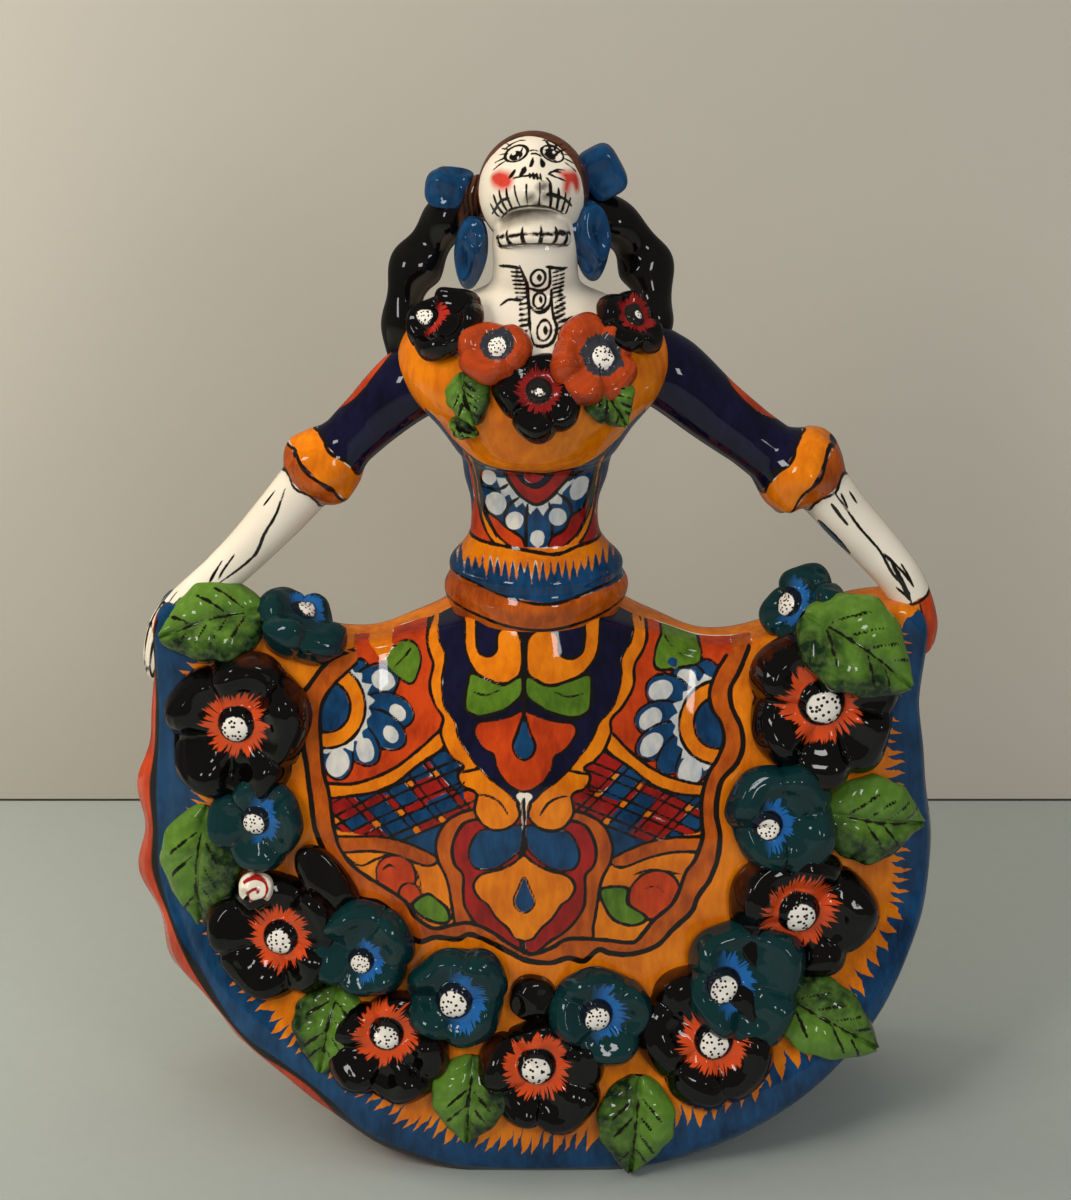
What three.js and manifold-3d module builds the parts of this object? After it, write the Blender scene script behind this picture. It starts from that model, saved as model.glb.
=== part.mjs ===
// A dancing Day of the Dead skeleton in painted and glazed earthenware. She leans her head back and spreads
// a fan skirt by its two corners. Flowers and leaves of the same clay follow the skirt and the neckline.
// It was joined wet and fired in one, so it is one closed solid. Millimetres, +Z up, and she faces -Y.
// The origin is in the flat underside of the skirt.
import * as THREE from "three";
import Module from "manifold-3d";
import { mergeVertices } from "three/addons/utils/BufferGeometryUtils.js";

const wasm = await Module();
wasm.setup();

// Driving dimensions
const HEIGHT = 330;
const FAN_CENTRE_Z = 95; // the middle of the fan
const HEM_HALF_DEPTH = 52; // half the skirt's thickness where the hem stands on the table
const EDGE_HALF_DEPTH = 11; // at the corners that the hands hold
const WAIST_HALF_DEPTH = 24;
const SWELL = 17.5; // how far the front stands out from a sheet stretched between its four sides
const SWELL_POWER = 2.6; // higher keeps the swell fuller toward the sides
const EDGE_ROUND = 4; // radius that the hem turns over with
const RUFFLE = 5.5; // how far the ruffle behind the hem stands out on her right side
const RUFFLE_WAVES = 26;
const RUFFLE_TOP = 165; // the height at which it has died away
const RUFFLE_FADE = 60;

// Counts of faces
const FAN_STEPS = 20;
const EDGE_ROWS = [0.04, 0.22, 0.42, 0.58, 0.78, 0.96]; // rows of the edge, as shares of the way to the back
const BODY_SEGMENTS = 20;
const LIMB_SEGMENTS = 10;
const FINEST = 0.1; // slivers thinner than this are left out where the pieces meet

// The hem and the skirt's upper edge, seen from the front: x and z
const OUTLINE = [
  [124, 176], [123.5, 145], [127, 112], [128.5, 84], [119, 56], [100, 33], [74, 15], [45, 3.5],
  [15, -1.5], [-15, -1.5], [-45, 6], [-74, 24], [-97, 41], [-114, 60], [-123.5, 86], [-123.5, 118],
  [-122, 145], [-121, 176], [-105, 180], [-62, 168], [-36, 173], [0, 186], [36, 173], [62, 167], [105, 180],
];
// The places in that list where one side of the skirt ends and the next begins, as seen in the photo
const CORNER = { topRight: 0, lowRight: 5, lowLeft: 12, topLeft: 17 };

const TURN = 2 * Math.PI;
const clamp01 = (t) => Math.min(Math.max(t, 0), 1);
const smooth = (t) => clamp01(t) ** 2 * (3 - 2 * clamp01(t));
const mix = (a, b, t) => a + (b - a) * t;

// Half the thickness at the outline: thin where the hands lift the hem, deep where it stands and at the waist
function edgeHalfDepth(x, z) {
  const standing = (HEM_HALF_DEPTH - EDGE_HALF_DEPTH) * smooth((FAN_CENTRE_Z - z) / FAN_CENTRE_Z);
  const waist = z > 120 ? (WAIST_HALF_DEPTH - EDGE_HALF_DEPTH) * smooth(1 - Math.abs(x) / 55) : 0;
  return EDGE_HALF_DEPTH + standing + waist;
}

// The outline is a smooth closed curve. A side is the part of it between two listed points, drawn in by the
// rounding of the edge. Its points hold x, z and half the thickness
const outlinePoints = OUTLINE.map(([x, z]) => new THREE.Vector3(x, z, 0));
const outline = new THREE.CatmullRomCurve3(outlinePoints, true, "catmullrom", 0.5);

function outlineSide(first, last) {
  const steps = 60;
  return new THREE.CatmullRomCurve3(Array.from({ length: steps + 1 }, (_, k) => {
    const p = outline.getPoint((mix(first, last, k / steps) / OUTLINE.length) % 1);
    const outward = new THREE.Vector3(p.x, p.y - FAN_CENTRE_Z, 0).normalize();
    return p.addScaledVector(outward, -EDGE_ROUND).setZ(edgeHalfDepth(p.x, p.y));
  }));
}

const hem = outlineSide(CORNER.lowLeft, CORNER.lowRight);
const topEdge = outlineSide(CORNER.topLeft, OUTLINE.length);
const leftEdge = outlineSide(CORNER.lowLeft, CORNER.topLeft);
const rightEdge = outlineSide(CORNER.lowRight, CORNER.topRight);

// A point of the front of the skirt, from its four sides: u runs across from 0 to 1 and v up from 0 to 1
function sheetPoint(u, v) {
  const point = new THREE.Vector3()
    .addScaledVector(hem.getPointAt(u), 1 - v)
    .addScaledVector(topEdge.getPointAt(u), v)
    .addScaledVector(leftEdge.getPointAt(v), 1 - u)
    .addScaledVector(rightEdge.getPointAt(v), u)
    .addScaledVector(hem.getPointAt(0), -(1 - u) * (1 - v))
    .addScaledVector(hem.getPointAt(1), -u * (1 - v))
    .addScaledVector(topEdge.getPointAt(0), -(1 - u) * v)
    .addScaledVector(topEdge.getPointAt(1), -u * v);
  const fade = (t) => 1 - Math.abs(2 * t - 1) ** SWELL_POWER;
  const swell = SWELL * fade(u) * fade(v);
  return new THREE.Vector3(point.x, -point.z - swell, point.y);
}

// Where x, z lies on the front, and the way the surface faces there
function skirtSpot(x, z) {
  let [u, v] = [0.5, 0.5];
  for (let n = 0; n < 60; n++) {
    const p = sheetPoint(u, v);
    u = clamp01(u + (x - p.x) / 260);
    v = clamp01(v + (z - p.z) / 190);
  }
  const here = sheetPoint(u, v);
  const aside = sheetPoint(u < 0.5 ? u + 0.01 : u - 0.01, v).sub(here).multiplyScalar(u < 0.5 ? 1 : -1);
  const above = sheetPoint(u, v < 0.5 ? v + 0.01 : v - 0.01).sub(here).multiplyScalar(v < 0.5 ? 1 : -1);
  return { here, facing: aside.cross(above).normalize() };
}

// The edge behind the hem, with across from 0 at the front to 1 at the back. It turns over roundly from both
// faces and is ruffled between them, most of all on her right side
function edgePoint(front, across) {
  const outward = new THREE.Vector3(front.x, 0, front.z - FAN_CENTRE_Z).normalize();
  const nearest = Math.min(across, 1 - across);
  const turned = 1 - Math.min((nearest * 2 * -front.y) / EDGE_ROUND, 1);
  const fullness = mix(0.2, 1, smooth(0.6 - outward.x / 2)) * smooth((RUFFLE_TOP - front.z) / RUFFLE_FADE);
  const wave = 1 + 0.3 * Math.sin(RUFFLE_WAVES * Math.atan2(outward.z, outward.x));
  const ruffle = RUFFLE * fullness * wave * Math.exp(-(((nearest - 0.22) / 0.13) ** 2));
  const out = EDGE_ROUND * Math.sqrt(1 - turned ** 2) + ruffle;
  return front.clone().multiply(new THREE.Vector3(1, 1 - 2 * across, 1)).addScaledVector(outward, out);
}

// A closed mesh from its points and faces
function closedMesh(points, faces) {
  const geometry = new THREE.BufferGeometry();
  const numbers = points.flatMap((p) => p.toArray());
  geometry.setAttribute("position", new THREE.Float32BufferAttribute(numbers, 3));
  geometry.setIndex(faces.flat());
  return geometry;
}

// Front and back sheets with the ruffled edge between them
function skirtGeometry() {
  const points = [];
  const faces = [];
  const side = FAN_STEPS + 1;
  for (let j = 0; j < side; j++) {
    for (let i = 0; i < side; i++) points.push(sheetPoint(i / FAN_STEPS, j / FAN_STEPS));
  }
  const back = points.length;
  for (let k = 0; k < back; k++) points.push(points[k].clone().multiply(new THREE.Vector3(1, -1, 1)));
  const quad = (a, b, c, d) => faces.push([a, b, c], [a, c, d]);
  for (let j = 0; j < FAN_STEPS; j++) {
    for (let i = 0; i < FAN_STEPS; i++) {
      const a = j * side + i;
      const corners = [a, a + 1, a + side + 1, a + side];
      const across = corners.map((k, n) => points[k].distanceTo(points[corners[(n + 2) % 4]]));
      if (across[1] < across[0]) corners.push(corners.shift()); // cut each four-sided cell the short way
      quad(...corners);
      quad(...corners.map((k) => back + k).reverse());
    }
  }
  const rim = [];
  for (let k = 0; k < FAN_STEPS; k++) rim.push(k);
  for (let k = 0; k < FAN_STEPS; k++) rim.push(k * side + FAN_STEPS);
  for (let k = FAN_STEPS; k > 0; k--) rim.push(FAN_STEPS * side + k);
  for (let k = FAN_STEPS; k > 0; k--) rim.push(k * side);
  let row = rim;
  for (const across of [...EDGE_ROWS, 1]) {
    const next = across === 1
      ? rim.map((k) => back + k)
      : rim.map((k) => points.push(edgePoint(points[k], across)) - 1);
    rim.forEach((_, k) => {
      const after = (k + 1) % rim.length;
      quad(row[k], next[k], next[after], row[after]);
    });
    row = next;
  }
  return closedMesh(points, faces);
}

// Rings joined into a closed skin, with a point at each end. Each ring runs the same way round
function skin(rings) {
  const count = rings[0].length;
  const points = rings.flat();
  const faces = [];
  const middle = (ring) => ring.reduce((sum, p) => sum.add(p), new THREE.Vector3()).divideScalar(count);
  const first = points.push(middle(rings[0])) - 1;
  const last = points.push(middle(rings[rings.length - 1])) - 1;
  for (let k = 0; k < count; k++) {
    const after = (k + 1) % count;
    faces.push([first, after, k]);
    for (let r = 0; r + 1 < rings.length; r++) {
      const [a, b] = [r * count + k, r * count + after];
      faces.push([a, b, b + count], [a, b + count, a + count]);
    }
    const top = (rings.length - 1) * count;
    faces.push([last, top + k, top + after]);
  }
  return closedMesh(points, faces);
}

// The body from below the belt to the neck: height, half width, half depth and how far back its middle is
const BODY = [
  [172, 25, 23, 0], [181, 28.3, 26.5, -0.5], [186, 28.8, 27.5, -1], [190, 27.2, 26, -1],
  [194, 27.2, 26.2, -1], [199, 23, 22, -1], [204, 20.4, 19, -0.5], [213, 20.2, 18.5, 0], [221, 22.4, 20, 0],
  [228, 25, 21.5, -1], [232, 29.5, 27.5, -2], [240, 34.5, 31.5, -2], [249, 40.5, 33.5, -2],
  [258, 43, 32.5, -1.5], [266, 41, 29, -0.5], [272, 35, 24, 0.5], [277, 25, 18.5, 1], [282, 16, 14.5, 0],
  [288, 14.2, 13.5, -2], [296, 14.5, 13.5, -4], [304, 13, 12, -3],
];

function bodyGeometry() {
  return skin(BODY.map(([z, halfWidth, halfDepth, back]) => Array.from({ length: BODY_SEGMENTS }, (_, k) => {
    const angle = (TURN * k) / BODY_SEGMENTS;
    return new THREE.Vector3(halfWidth * Math.cos(angle), back + halfDepth * Math.sin(angle), z);
  })));
}

// A limb or braid: round sections about a path of x, y, z and radius
function limbGeometry(path) {
  const middles = path.map(([x, y, z]) => new THREE.Vector3(x, y, z));
  const side = new THREE.Vector3(0, 1, 0);
  return skin(middles.map((middle, i) => {
    const ahead = middles[Math.min(i + 1, path.length - 1)];
    const along = ahead.clone().sub(middles[Math.max(i - 1, 0)]).normalize();
    const across = new THREE.Vector3().crossVectors(side, along).normalize();
    const upward = new THREE.Vector3().crossVectors(along, across);
    return Array.from({ length: LIMB_SEGMENTS }, (_, k) => {
      const angle = (TURN * k) / LIMB_SEGMENTS;
      return middle.clone()
        .addScaledVector(across, path[i][3] * Math.cos(angle))
        .addScaledVector(upward, path[i][3] * Math.sin(angle));
    });
  }));
}

// Shoulder, sleeve, flared cuff, bare forearm, and the hand that folds down over the corner of the skirt
const RIGHT_ARM = [
  [-26, 2, 258, 11], [-40, 0, 250, 11.5], [-52, 0, 239, 9.5], [-59, 0, 232, 8.5], [-60, 0, 231, 10],
  [-67, 0, 223.5, 13.6], [-70.5, 0, 220, 12.5], [-71.5, 0, 219, 8.2], [-81, 0, 208, 7.6], [-92, 0, 196, 6.6],
  [-104, -1, 184.5, 6.2], [-111, -2, 177.5, 6.8], [-116.5, -3, 170, 7.4], [-119.5, -4, 161, 6.2],
  [-120.5, -4, 152, 4],
];
const LEFT_ARM = [
  [28, 2, 262, 11.5], [42, 0, 254, 12], [55, 0, 243, 10.5], [68, 0, 233, 9], [74, 0, 228.5, 8.6],
  [75.5, 0, 227.5, 12], [83, 0, 223, 15.8], [87, 0, 220, 14.5], [88.5, 0, 219, 8.8], [98, 0, 208, 8],
  [108, 0, 197, 7.2], [116, -1, 187.5, 6.5], [121, -1, 179, 6.6], [123.5, 0, 170, 6.6], [124, 2, 160, 5.6],
];
const RIGHT_BRAID = [
  [-8, 12, 306, 6.6], [-19, 13, 305, 6.6], [-27, 14, 300.5, 7], [-33.5, 14, 291, 6.8], [-39, 12, 281.5, 7.2],
  [-41.5, 10, 271, 6.4], [-41.5, 7, 262, 6.2], [-40, 4, 254, 4],
];
const LEFT_BRAID = [
  [6, 12, 308, 7], [18.5, 13, 303, 7.4], [28, 14, 295.5, 7.2], [33.5, 14, 287, 7.4], [36.5, 11, 278.5, 6.8],
  [37, 8, 270, 6.2], [36, 5, 262, 4.5],
];

// A rounded block, from a sphere whose corners are pushed out. square 1 is round and less is boxier
function lumpGeometry(middle, halves, square, segments = 10, turn = 0) {
  const sphere = new THREE.SphereGeometry(1, segments, Math.round(segments * 0.7));
  const position = sphere.getAttribute("position");
  const point = new THREE.Vector3();
  const pushed = (c) => Math.sign(c) * Math.abs(c) ** square;
  for (let i = 0; i < position.count; i++) {
    point.fromBufferAttribute(position, i);
    position.setXYZ(i, pushed(point.x) * halves[0], pushed(point.y) * halves[1], pushed(point.z) * halves[2]);
  }
  return sphere.rotateY(turn).translate(...middle);
}

// The skull, tilted back so that it looks up: a ball with the upper jaw and the open lower jaw pushed out
const SKULL = { middle: [-0.4, 3, HEIGHT - 19], radius: 18.2, tilt: THREE.MathUtils.degToRad(35) };

function skullGeometry() {
  const sphere = new THREE.SphereGeometry(1, 18, 16);
  sphere.rotateX(Math.PI / 2);
  const position = sphere.getAttribute("position");
  const point = new THREE.Vector3();
  const bump = (value, middle, width) => Math.exp(-(((value - middle) / width) ** 2));
  for (let i = 0; i < position.count; i++) {
    point.fromBufferAttribute(position, i);
    const up = THREE.MathUtils.radToDeg(Math.asin(point.z));
    const aside = THREE.MathUtils.radToDeg(Math.atan2(point.x, -point.y));
    const muzzle = 4.6 * bump(up, -24, 15) * bump(aside, 0, 42);
    const mouth = -3.2 * bump(up, -46, 5) * bump(aside, 0, 50);
    const jaw = 5.6 * bump(up, -62, 11) * bump(aside, 0, 80);
    point.multiplyScalar(SKULL.radius + muzzle + mouth + jaw);
    position.setXYZ(i, point.x, point.y, point.z);
  }
  return sphere.rotateX(-SKULL.tilt).translate(...SKULL.middle);
}

// Flowers and leaves are made lying flat, facing +Z, and are then turned to face outward where they sit
function placed(geometry, at, facing, spin) {
  const normal = new THREE.Vector3(...facing).normalize();
  const right = new THREE.Vector3(0, 0, 1).cross(normal).normalize();
  const upward = new THREE.Vector3().crossVectors(normal, right);
  const turn = new THREE.Matrix4().makeBasis(right, upward, normal).setPosition(...at);
  return geometry.rotateZ(THREE.MathUtils.degToRad(spin)).applyMatrix4(turn);
}

// Share of the radius and of the height, from the button in the middle out over the petals and under them
const PETAL_PROFILE = [[0.18, 0.42], [0.28, 0.32], [0.62, 0.46], [0.98, 0.2], [0.74, -0.45]];
const PETALS = 6;

function flowerGeometry(radius) {
  const segments = 2 * PETALS;
  return skin(PETAL_PROFILE.map(([share, rise], row) => Array.from({ length: segments }, (_, k) => {
    const angle = (TURN * k) / segments;
    const lobe = row > 1 && k % 2 ? 0.85 : 1;
    return new THREE.Vector3(
      radius * share * lobe * Math.cos(angle),
      radius * share * lobe * Math.sin(angle),
      radius * rise,
    );
  })).reverse());
}

// A thick leaf along +X from its stalk, creased along the middle and curling down at the tip
function leafGeometry(length, width) {
  const steps = 6;
  return skin(Array.from({ length: steps }, (_, i) => {
    const t = mix(0.03, 0.97, i / (steps - 1));
    const half = (width / 2) * Math.sin(Math.PI * t ** 0.8) + 0.6;
    const x = length * (t - 0.5);
    const rise = length * 0.16 * Math.sin(Math.PI * t);
    return [
      [half, rise - 1.2], [half * 0.5, rise + 1], [0, rise], [-half * 0.5, rise + 1], [-half, rise - 1.2],
      [-half * 0.5, -3], [half * 0.5, -3],
    ].map(([y, z]) => new THREE.Vector3(x, y, z));
  }));
}

// Flowers on the skirt: x, z, radius, spin in degrees and how far each is lifted by those under it
const SKIRT_FLOWERS = [
  [-92, 147, 23.5, 10, 0], [-83, 75.5, 21, 30, 0], [-47, 43, 18, 0, 0], [2.5, 35, 19.5, 18, 0],
  [55, 45, 21.5, 40, 0], [84.5, 85, 21.5, 0, 0], [89, 154, 24, 25, 0], [-88, 113, 15.5, 0, 3],
  [-55, 75.5, 16, 20, 3], [-24.5, 60, 16.5, 40, 3], [20.5, 54.5, 16, 10, 3], [66.5, 64, 18.5, 30, 3],
  [76, 119, 17, 50, 3], [-66, 102, 9, 0, 0], [-1, 60, 8, 0, 0], [-88, 91, 6, 0, 0],
];
// Leaves on the skirt: x, z, length, width and heading in degrees
const SKIRT_LEAVES = [
  [-106.5, 95.5, 39, 25, -88], [-66.5, 47, 30, 23, -101], [-21, 27, 30, 24, -94],
  [32, 15.5, 35, 24, -95], [93, 49.5, 36, 21, -33], [108.5, 112, 35, 26, -14],
];
// On the skirt's upper corners and the neckline they face their own way: x, y, z, size, facing and spin
const CORNER_FLOWERS = [
  [-75, -8, 176, 13, [0.45, -0.45, 0.77], 0], [86, -8, 178, 15, [-0.62, -0.62, 0.48], 20],
];
const CORNER_LEAVES = [
  [-101, -9, 178, 38, 27, [0, -0.8, 0.6], 174], [104, -12, 175, 38, 27, [0.25, -0.85, 0.45], -40],
];
const NECK_FLOWERS = [
  [-27, -18, 274, 12, [-0.45, -0.6, 0.66], 0], [-12.5, -29, 268.5, 10.5, [-0.1, -0.75, 0.65], 20],
  [1, -34, 256, 12.5, [0, -0.85, 0.5], 0], [17, -28, 265.5, 13.5, [0.25, -0.75, 0.6], 30],
  [28, -18, 274.5, 10.5, [0.5, -0.55, 0.66], 10],
];
const NECK_LEAVES = [
  [-20, -32, 255, 17, 13, [-0.35, -0.93, 0.1], -70], [22.5, -31, 254, 19, 15, [0.35, -0.93, 0.1], -60],
];

// The same shape as a solid that can be joined to others. Points that repeat along its seams become one
function solidOf(geometry) {
  const bare = geometry.index ? geometry.toNonIndexed() : geometry.clone();
  bare.deleteAttribute("normal");
  bare.deleteAttribute("uv");
  const merged = mergeVertices(bare, 1e-3);
  return new wasm.Manifold(new wasm.Mesh({
    numProp: 3,
    vertProperties: merged.getAttribute("position").array,
    triVerts: new Uint32Array(merged.index.array),
  }));
}

// Every piece joined into one solid, with its foot cut flat
function figureGeometry() {
  const pieces = [
    skirtGeometry(),
    bodyGeometry(),
    skullGeometry(),
    ...[RIGHT_ARM, LEFT_ARM, RIGHT_BRAID, LEFT_BRAID].map(limbGeometry),
    lumpGeometry([-26, 12, 309.5], [8.2, 6.5, 6.2], 0.7), // the bow on her right braid
    lumpGeometry([20.5, 12, 315], [6.4, 6, 8], 0.55, 10, -0.5), // the bow on her left braid
    lumpGeometry([-19.8, -1, 292.5], [6.4, 6.5, 11], 0.9), // her right earring
    lumpGeometry([16.4, -2, 296.5], [6.8, 6.5, 12.6], 0.9), // her left earring
  ];
  SKIRT_FLOWERS.forEach(([x, z, radius, spin, lift]) => {
    const { here, facing } = skirtSpot(x, z);
    here.addScaledVector(facing, lift);
    pieces.push(placed(flowerGeometry(radius), here.toArray(), facing.toArray(), spin));
  });
  SKIRT_LEAVES.forEach(([x, z, length, width, spin]) => {
    const { here, facing } = skirtSpot(x, z);
    pieces.push(placed(leafGeometry(length, width), here.toArray(), facing.toArray(), spin));
  });
  [...CORNER_FLOWERS, ...NECK_FLOWERS].forEach(([x, y, z, radius, facing, spin]) => {
    pieces.push(placed(flowerGeometry(radius), [x, y, z], facing, spin));
  });
  [...CORNER_LEAVES, ...NECK_LEAVES].forEach(([x, y, z, length, width, facing, spin]) => {
    pieces.push(placed(leafGeometry(length, width), [x, y, z], facing, spin));
  });
  const table = new THREE.BoxGeometry(2 * HEIGHT, 2 * HEIGHT, HEIGHT).translate(0, 0, -HEIGHT / 2);
  const solid = pieces.map(solidOf).reduce((all, piece) => all.add(piece)).subtract(solidOf(table));
  const mesh = solid.asOriginal().simplify(FINEST).getMesh();
  const geometry = new THREE.BufferGeometry();
  geometry.setAttribute("position", new THREE.BufferAttribute(mesh.vertProperties, 3));
  geometry.setIndex(new THREE.BufferAttribute(mesh.triVerts, 1));
  return geometry;
}

const glaze = new THREE.MeshStandardMaterial({ color: 0xd9761c, roughness: 0.15, metalness: 0 });
const figure = new THREE.Mesh(figureGeometry(), glaze);
figure.name = "skeleton_figure";

const group = new THREE.Group();
group.add(figure);
export default group;
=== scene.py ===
"""A dancing Day of the Dead skeleton of hand-painted, tin-glazed earthenware, in Blender.

She spreads a fan skirt with a garland of applied clay flowers. Lengths are in millimetres, +Z is up and she
faces -Y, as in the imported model. Only a finished mesh is turned to metres. Every surface is worked out with
numpy. The painting is held at the vertices as distances to the edge of each brushed area, so that the
material can draw the edges crisp and a little unsteady, as a brush leaves them.
"""

import math

import bpy
import numpy as np
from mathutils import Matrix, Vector


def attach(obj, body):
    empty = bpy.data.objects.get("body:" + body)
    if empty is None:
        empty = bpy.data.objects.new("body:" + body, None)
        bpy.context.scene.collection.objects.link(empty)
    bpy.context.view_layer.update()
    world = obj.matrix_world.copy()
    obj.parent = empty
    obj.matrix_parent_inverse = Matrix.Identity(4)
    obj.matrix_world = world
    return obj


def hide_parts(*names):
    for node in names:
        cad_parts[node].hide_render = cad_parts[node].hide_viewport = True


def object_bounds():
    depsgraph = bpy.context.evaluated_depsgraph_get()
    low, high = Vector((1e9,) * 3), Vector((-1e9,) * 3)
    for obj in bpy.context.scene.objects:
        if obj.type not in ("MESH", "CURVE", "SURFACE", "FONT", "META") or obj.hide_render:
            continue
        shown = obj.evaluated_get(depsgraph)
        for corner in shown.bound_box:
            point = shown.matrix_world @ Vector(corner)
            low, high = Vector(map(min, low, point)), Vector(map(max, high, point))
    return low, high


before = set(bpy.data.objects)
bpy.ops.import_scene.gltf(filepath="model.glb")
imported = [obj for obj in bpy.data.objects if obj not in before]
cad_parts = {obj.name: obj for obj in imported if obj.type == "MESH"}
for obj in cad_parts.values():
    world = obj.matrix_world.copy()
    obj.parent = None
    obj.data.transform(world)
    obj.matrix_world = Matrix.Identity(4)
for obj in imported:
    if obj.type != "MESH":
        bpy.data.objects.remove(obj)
cad_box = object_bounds()

MM = 0.001
CAD_LOW, CAD_HIGH = (np.array(corner) / MM for corner in cad_box)
TURN = 2 * math.pi
FAR = 9.0  # a paint distance that means well clear of the area, or well inside it when negative

# Camera: 20 degrees above level, 0.9 m from her middle
AIM = (0, 0, 179)
CAMERA_DISTANCE = 900
CAMERA_PITCH = 20
LENS = 84.24
WALL_BEHIND = 244
ROOM_HALF = 1600


# Curves and surfaces

def smooth(t):
    """0 below 0, 1 above 1, and between them a curve that starts and ends level."""
    t = np.clip(t, 0, 1)
    return t * t * (3 - 2 * t)


def bump(value, middle, width):
    """A bell of height 1 about middle: e to the minus square of the distance in widths."""
    return np.exp(-(((value - middle) / width) ** 2))


def through(points, where, closed=False):
    """Points of the Catmull-Rom curve through the listed ones. where counts listed points from the first."""
    points = np.asarray(points, float)
    where = np.asarray(where, float)
    count = len(points)
    start = np.floor(where).astype(int)
    if not closed:
        start = np.clip(start, 0, count - 2)
    part = (where - start)[..., None]
    picks = [start + step for step in (-1, 0, 1, 2)]
    picks = [pick % count if closed else np.clip(pick, 0, count - 1) for pick in picks]
    before, here, after, later = (points[pick] for pick in picks)
    return 0.5 * (
        2 * here
        + (after - before) * part
        + (2 * before - 5 * here + 4 * after - later) * part**2
        + (3 * here - before - 3 * after + later) * part**3
    )


def curve(points, closed=False, steps=5):
    """The same curve as a run of points, steps of them to each listed one."""
    spans = len(points) if closed else len(points) - 1
    where = np.arange(spans * steps + (0 if closed else 1)) / steps
    return through(points, where, closed)


def unit(vectors):
    """The same directions with length 1."""
    return vectors / np.linalg.norm(vectors, axis=-1, keepdims=True)


def cells(grid):
    """The four corners of each cell of a grid, in order round the cell."""
    corners = [grid[:-1, :-1], grid[:-1, 1:], grid[1:, 1:], grid[1:, :-1]]
    return np.stack(corners, axis=2).reshape(-1, 4, *grid.shape[2:])


def make_piece(name, points, faces, material, fields, uv=None):
    """A smooth-shaded piece from points in millimetres, arrays of faces and values at its points.

    fields holds those values by name, and uv the places of the faces' corners on a map of the piece's own.
    """
    mesh = bpy.data.meshes.new(name)
    corners = np.concatenate([face.ravel() for face in faces]).astype(np.int32)
    sizes = np.concatenate([np.full(len(face), face.shape[1]) for face in faces]).astype(np.int32)
    starts = np.concatenate([[0], np.cumsum(sizes)[:-1]]).astype(np.int32)
    mesh.vertices.add(len(points))
    mesh.vertices.foreach_set("co", (np.asarray(points) * MM).astype(np.float32).ravel())
    mesh.loops.add(len(corners))
    mesh.loops.foreach_set("vertex_index", corners)
    mesh.polygons.add(len(sizes))
    mesh.polygons.foreach_set("loop_start", starts)
    mesh.polygons.foreach_set("use_smooth", np.ones(len(sizes), bool))
    mesh.update(calc_edges=True)
    for field, values in fields.items():
        kind = "FLOAT_VECTOR" if values.ndim == 2 else "FLOAT"
        layer = mesh.attributes.new(field, kind, "POINT")
        key = "vector" if values.ndim == 2 else "value"
        layer.data.foreach_set(key, values.astype(np.float32).ravel())
    if uv is not None:
        layer = mesh.uv_layers.new(name="OFBake")
        places = np.concatenate([part.reshape(-1, 2) for part in uv])
        layer.data.foreach_set("uv", places.astype(np.float32).ravel())
    mesh.materials.append(material)
    piece = bpy.data.objects.new(name, mesh)
    bpy.context.scene.collection.objects.link(piece)
    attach(piece, "root")
    return piece


def closed_skin(rings):
    """Rings of points, each running the same way round, joined into a closed skin with a point at each end."""
    rows, columns = rings.shape[:2]
    index = np.arange(rows * columns).reshape(rows, columns)
    index = np.concatenate([index, index[:, :1]], axis=1)
    first = rows * columns
    last = first + 1
    points = np.concatenate([rings.reshape(-1, 3), rings[:1].mean(axis=1), rings[-1:].mean(axis=1)])
    start = np.stack([np.full(columns, first), index[0, 1:], index[0, :-1]], axis=1)
    end = np.stack([np.full(columns, last), index[-1, :-1], index[-1, 1:]], axis=1)
    return points, [cells(index), start, end]


def ended(values):
    """Values on the rings of a closed skin, with one more for each of its two end points."""
    flat = values.reshape(-1, *values.shape[2:])
    return np.concatenate([flat, values[:1].mean(axis=1), values[-1:].mean(axis=1)])


# Painting

COATS = {
    # the colour where the brush left it thin, and where it pooled
    "blue": ("#12436C", "#082642"),
    "milk": ("#D2CEC2", "#9DA6AC"),
    "orange": ("#E27F0A", "#BE5E08"),
    "rust": ("#BE5A10", "#86350B"),
    "scarlet": ("#C64210", "#96290A"),
    "crimson": ("#9E1B16", "#6A100D"),
    "navy": ("#111130", "#06061A"),
    "black": ("#0E0C0A", "#060505"),
    "hair": ("#6A3A1E", "#2A160D"),
    # painted shade: a watery grey laid in the hollow of the open mouth and on the upper teeth
    "painted_shade": ("#8E8678", "#5A5348"),
    "blush": ("#CF4636", "#B02A20"),
    "green": ("#5E8022", "#3A5A14"),
}
WATERY = {"painted_shade": 0.7, "blush": 1.0}  # coats whose edges fade out over this many millimetres each way
OVERLAP = 0.35  # how far a coat reaches on under the edge of the one laid over it
MANGANESE = "#15100C"  # the black of the drawn lines
RIM_SCARLET = ("#C8431A", "#962B10")


def edge_distance(places, path, closed):
    """How far each place is from a run of points, and the share of the run at which the nearest point lies."""
    ends = np.roll(path, -1, axis=0) if closed else path[1:]
    starts = path if closed else path[:-1]
    span = ends - starts
    length = np.maximum((span**2).sum(axis=1), 1e-9)
    offset = places[:, None] - starts
    part = np.clip((offset * span).sum(axis=2) / length, 0, 1)
    gaps = np.linalg.norm(offset - part[..., None] * span, axis=2)
    nearest = gaps.argmin(axis=1)
    rows = np.arange(len(places))
    return gaps[rows, nearest], (nearest + part[rows, nearest]) / len(starts)


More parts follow.
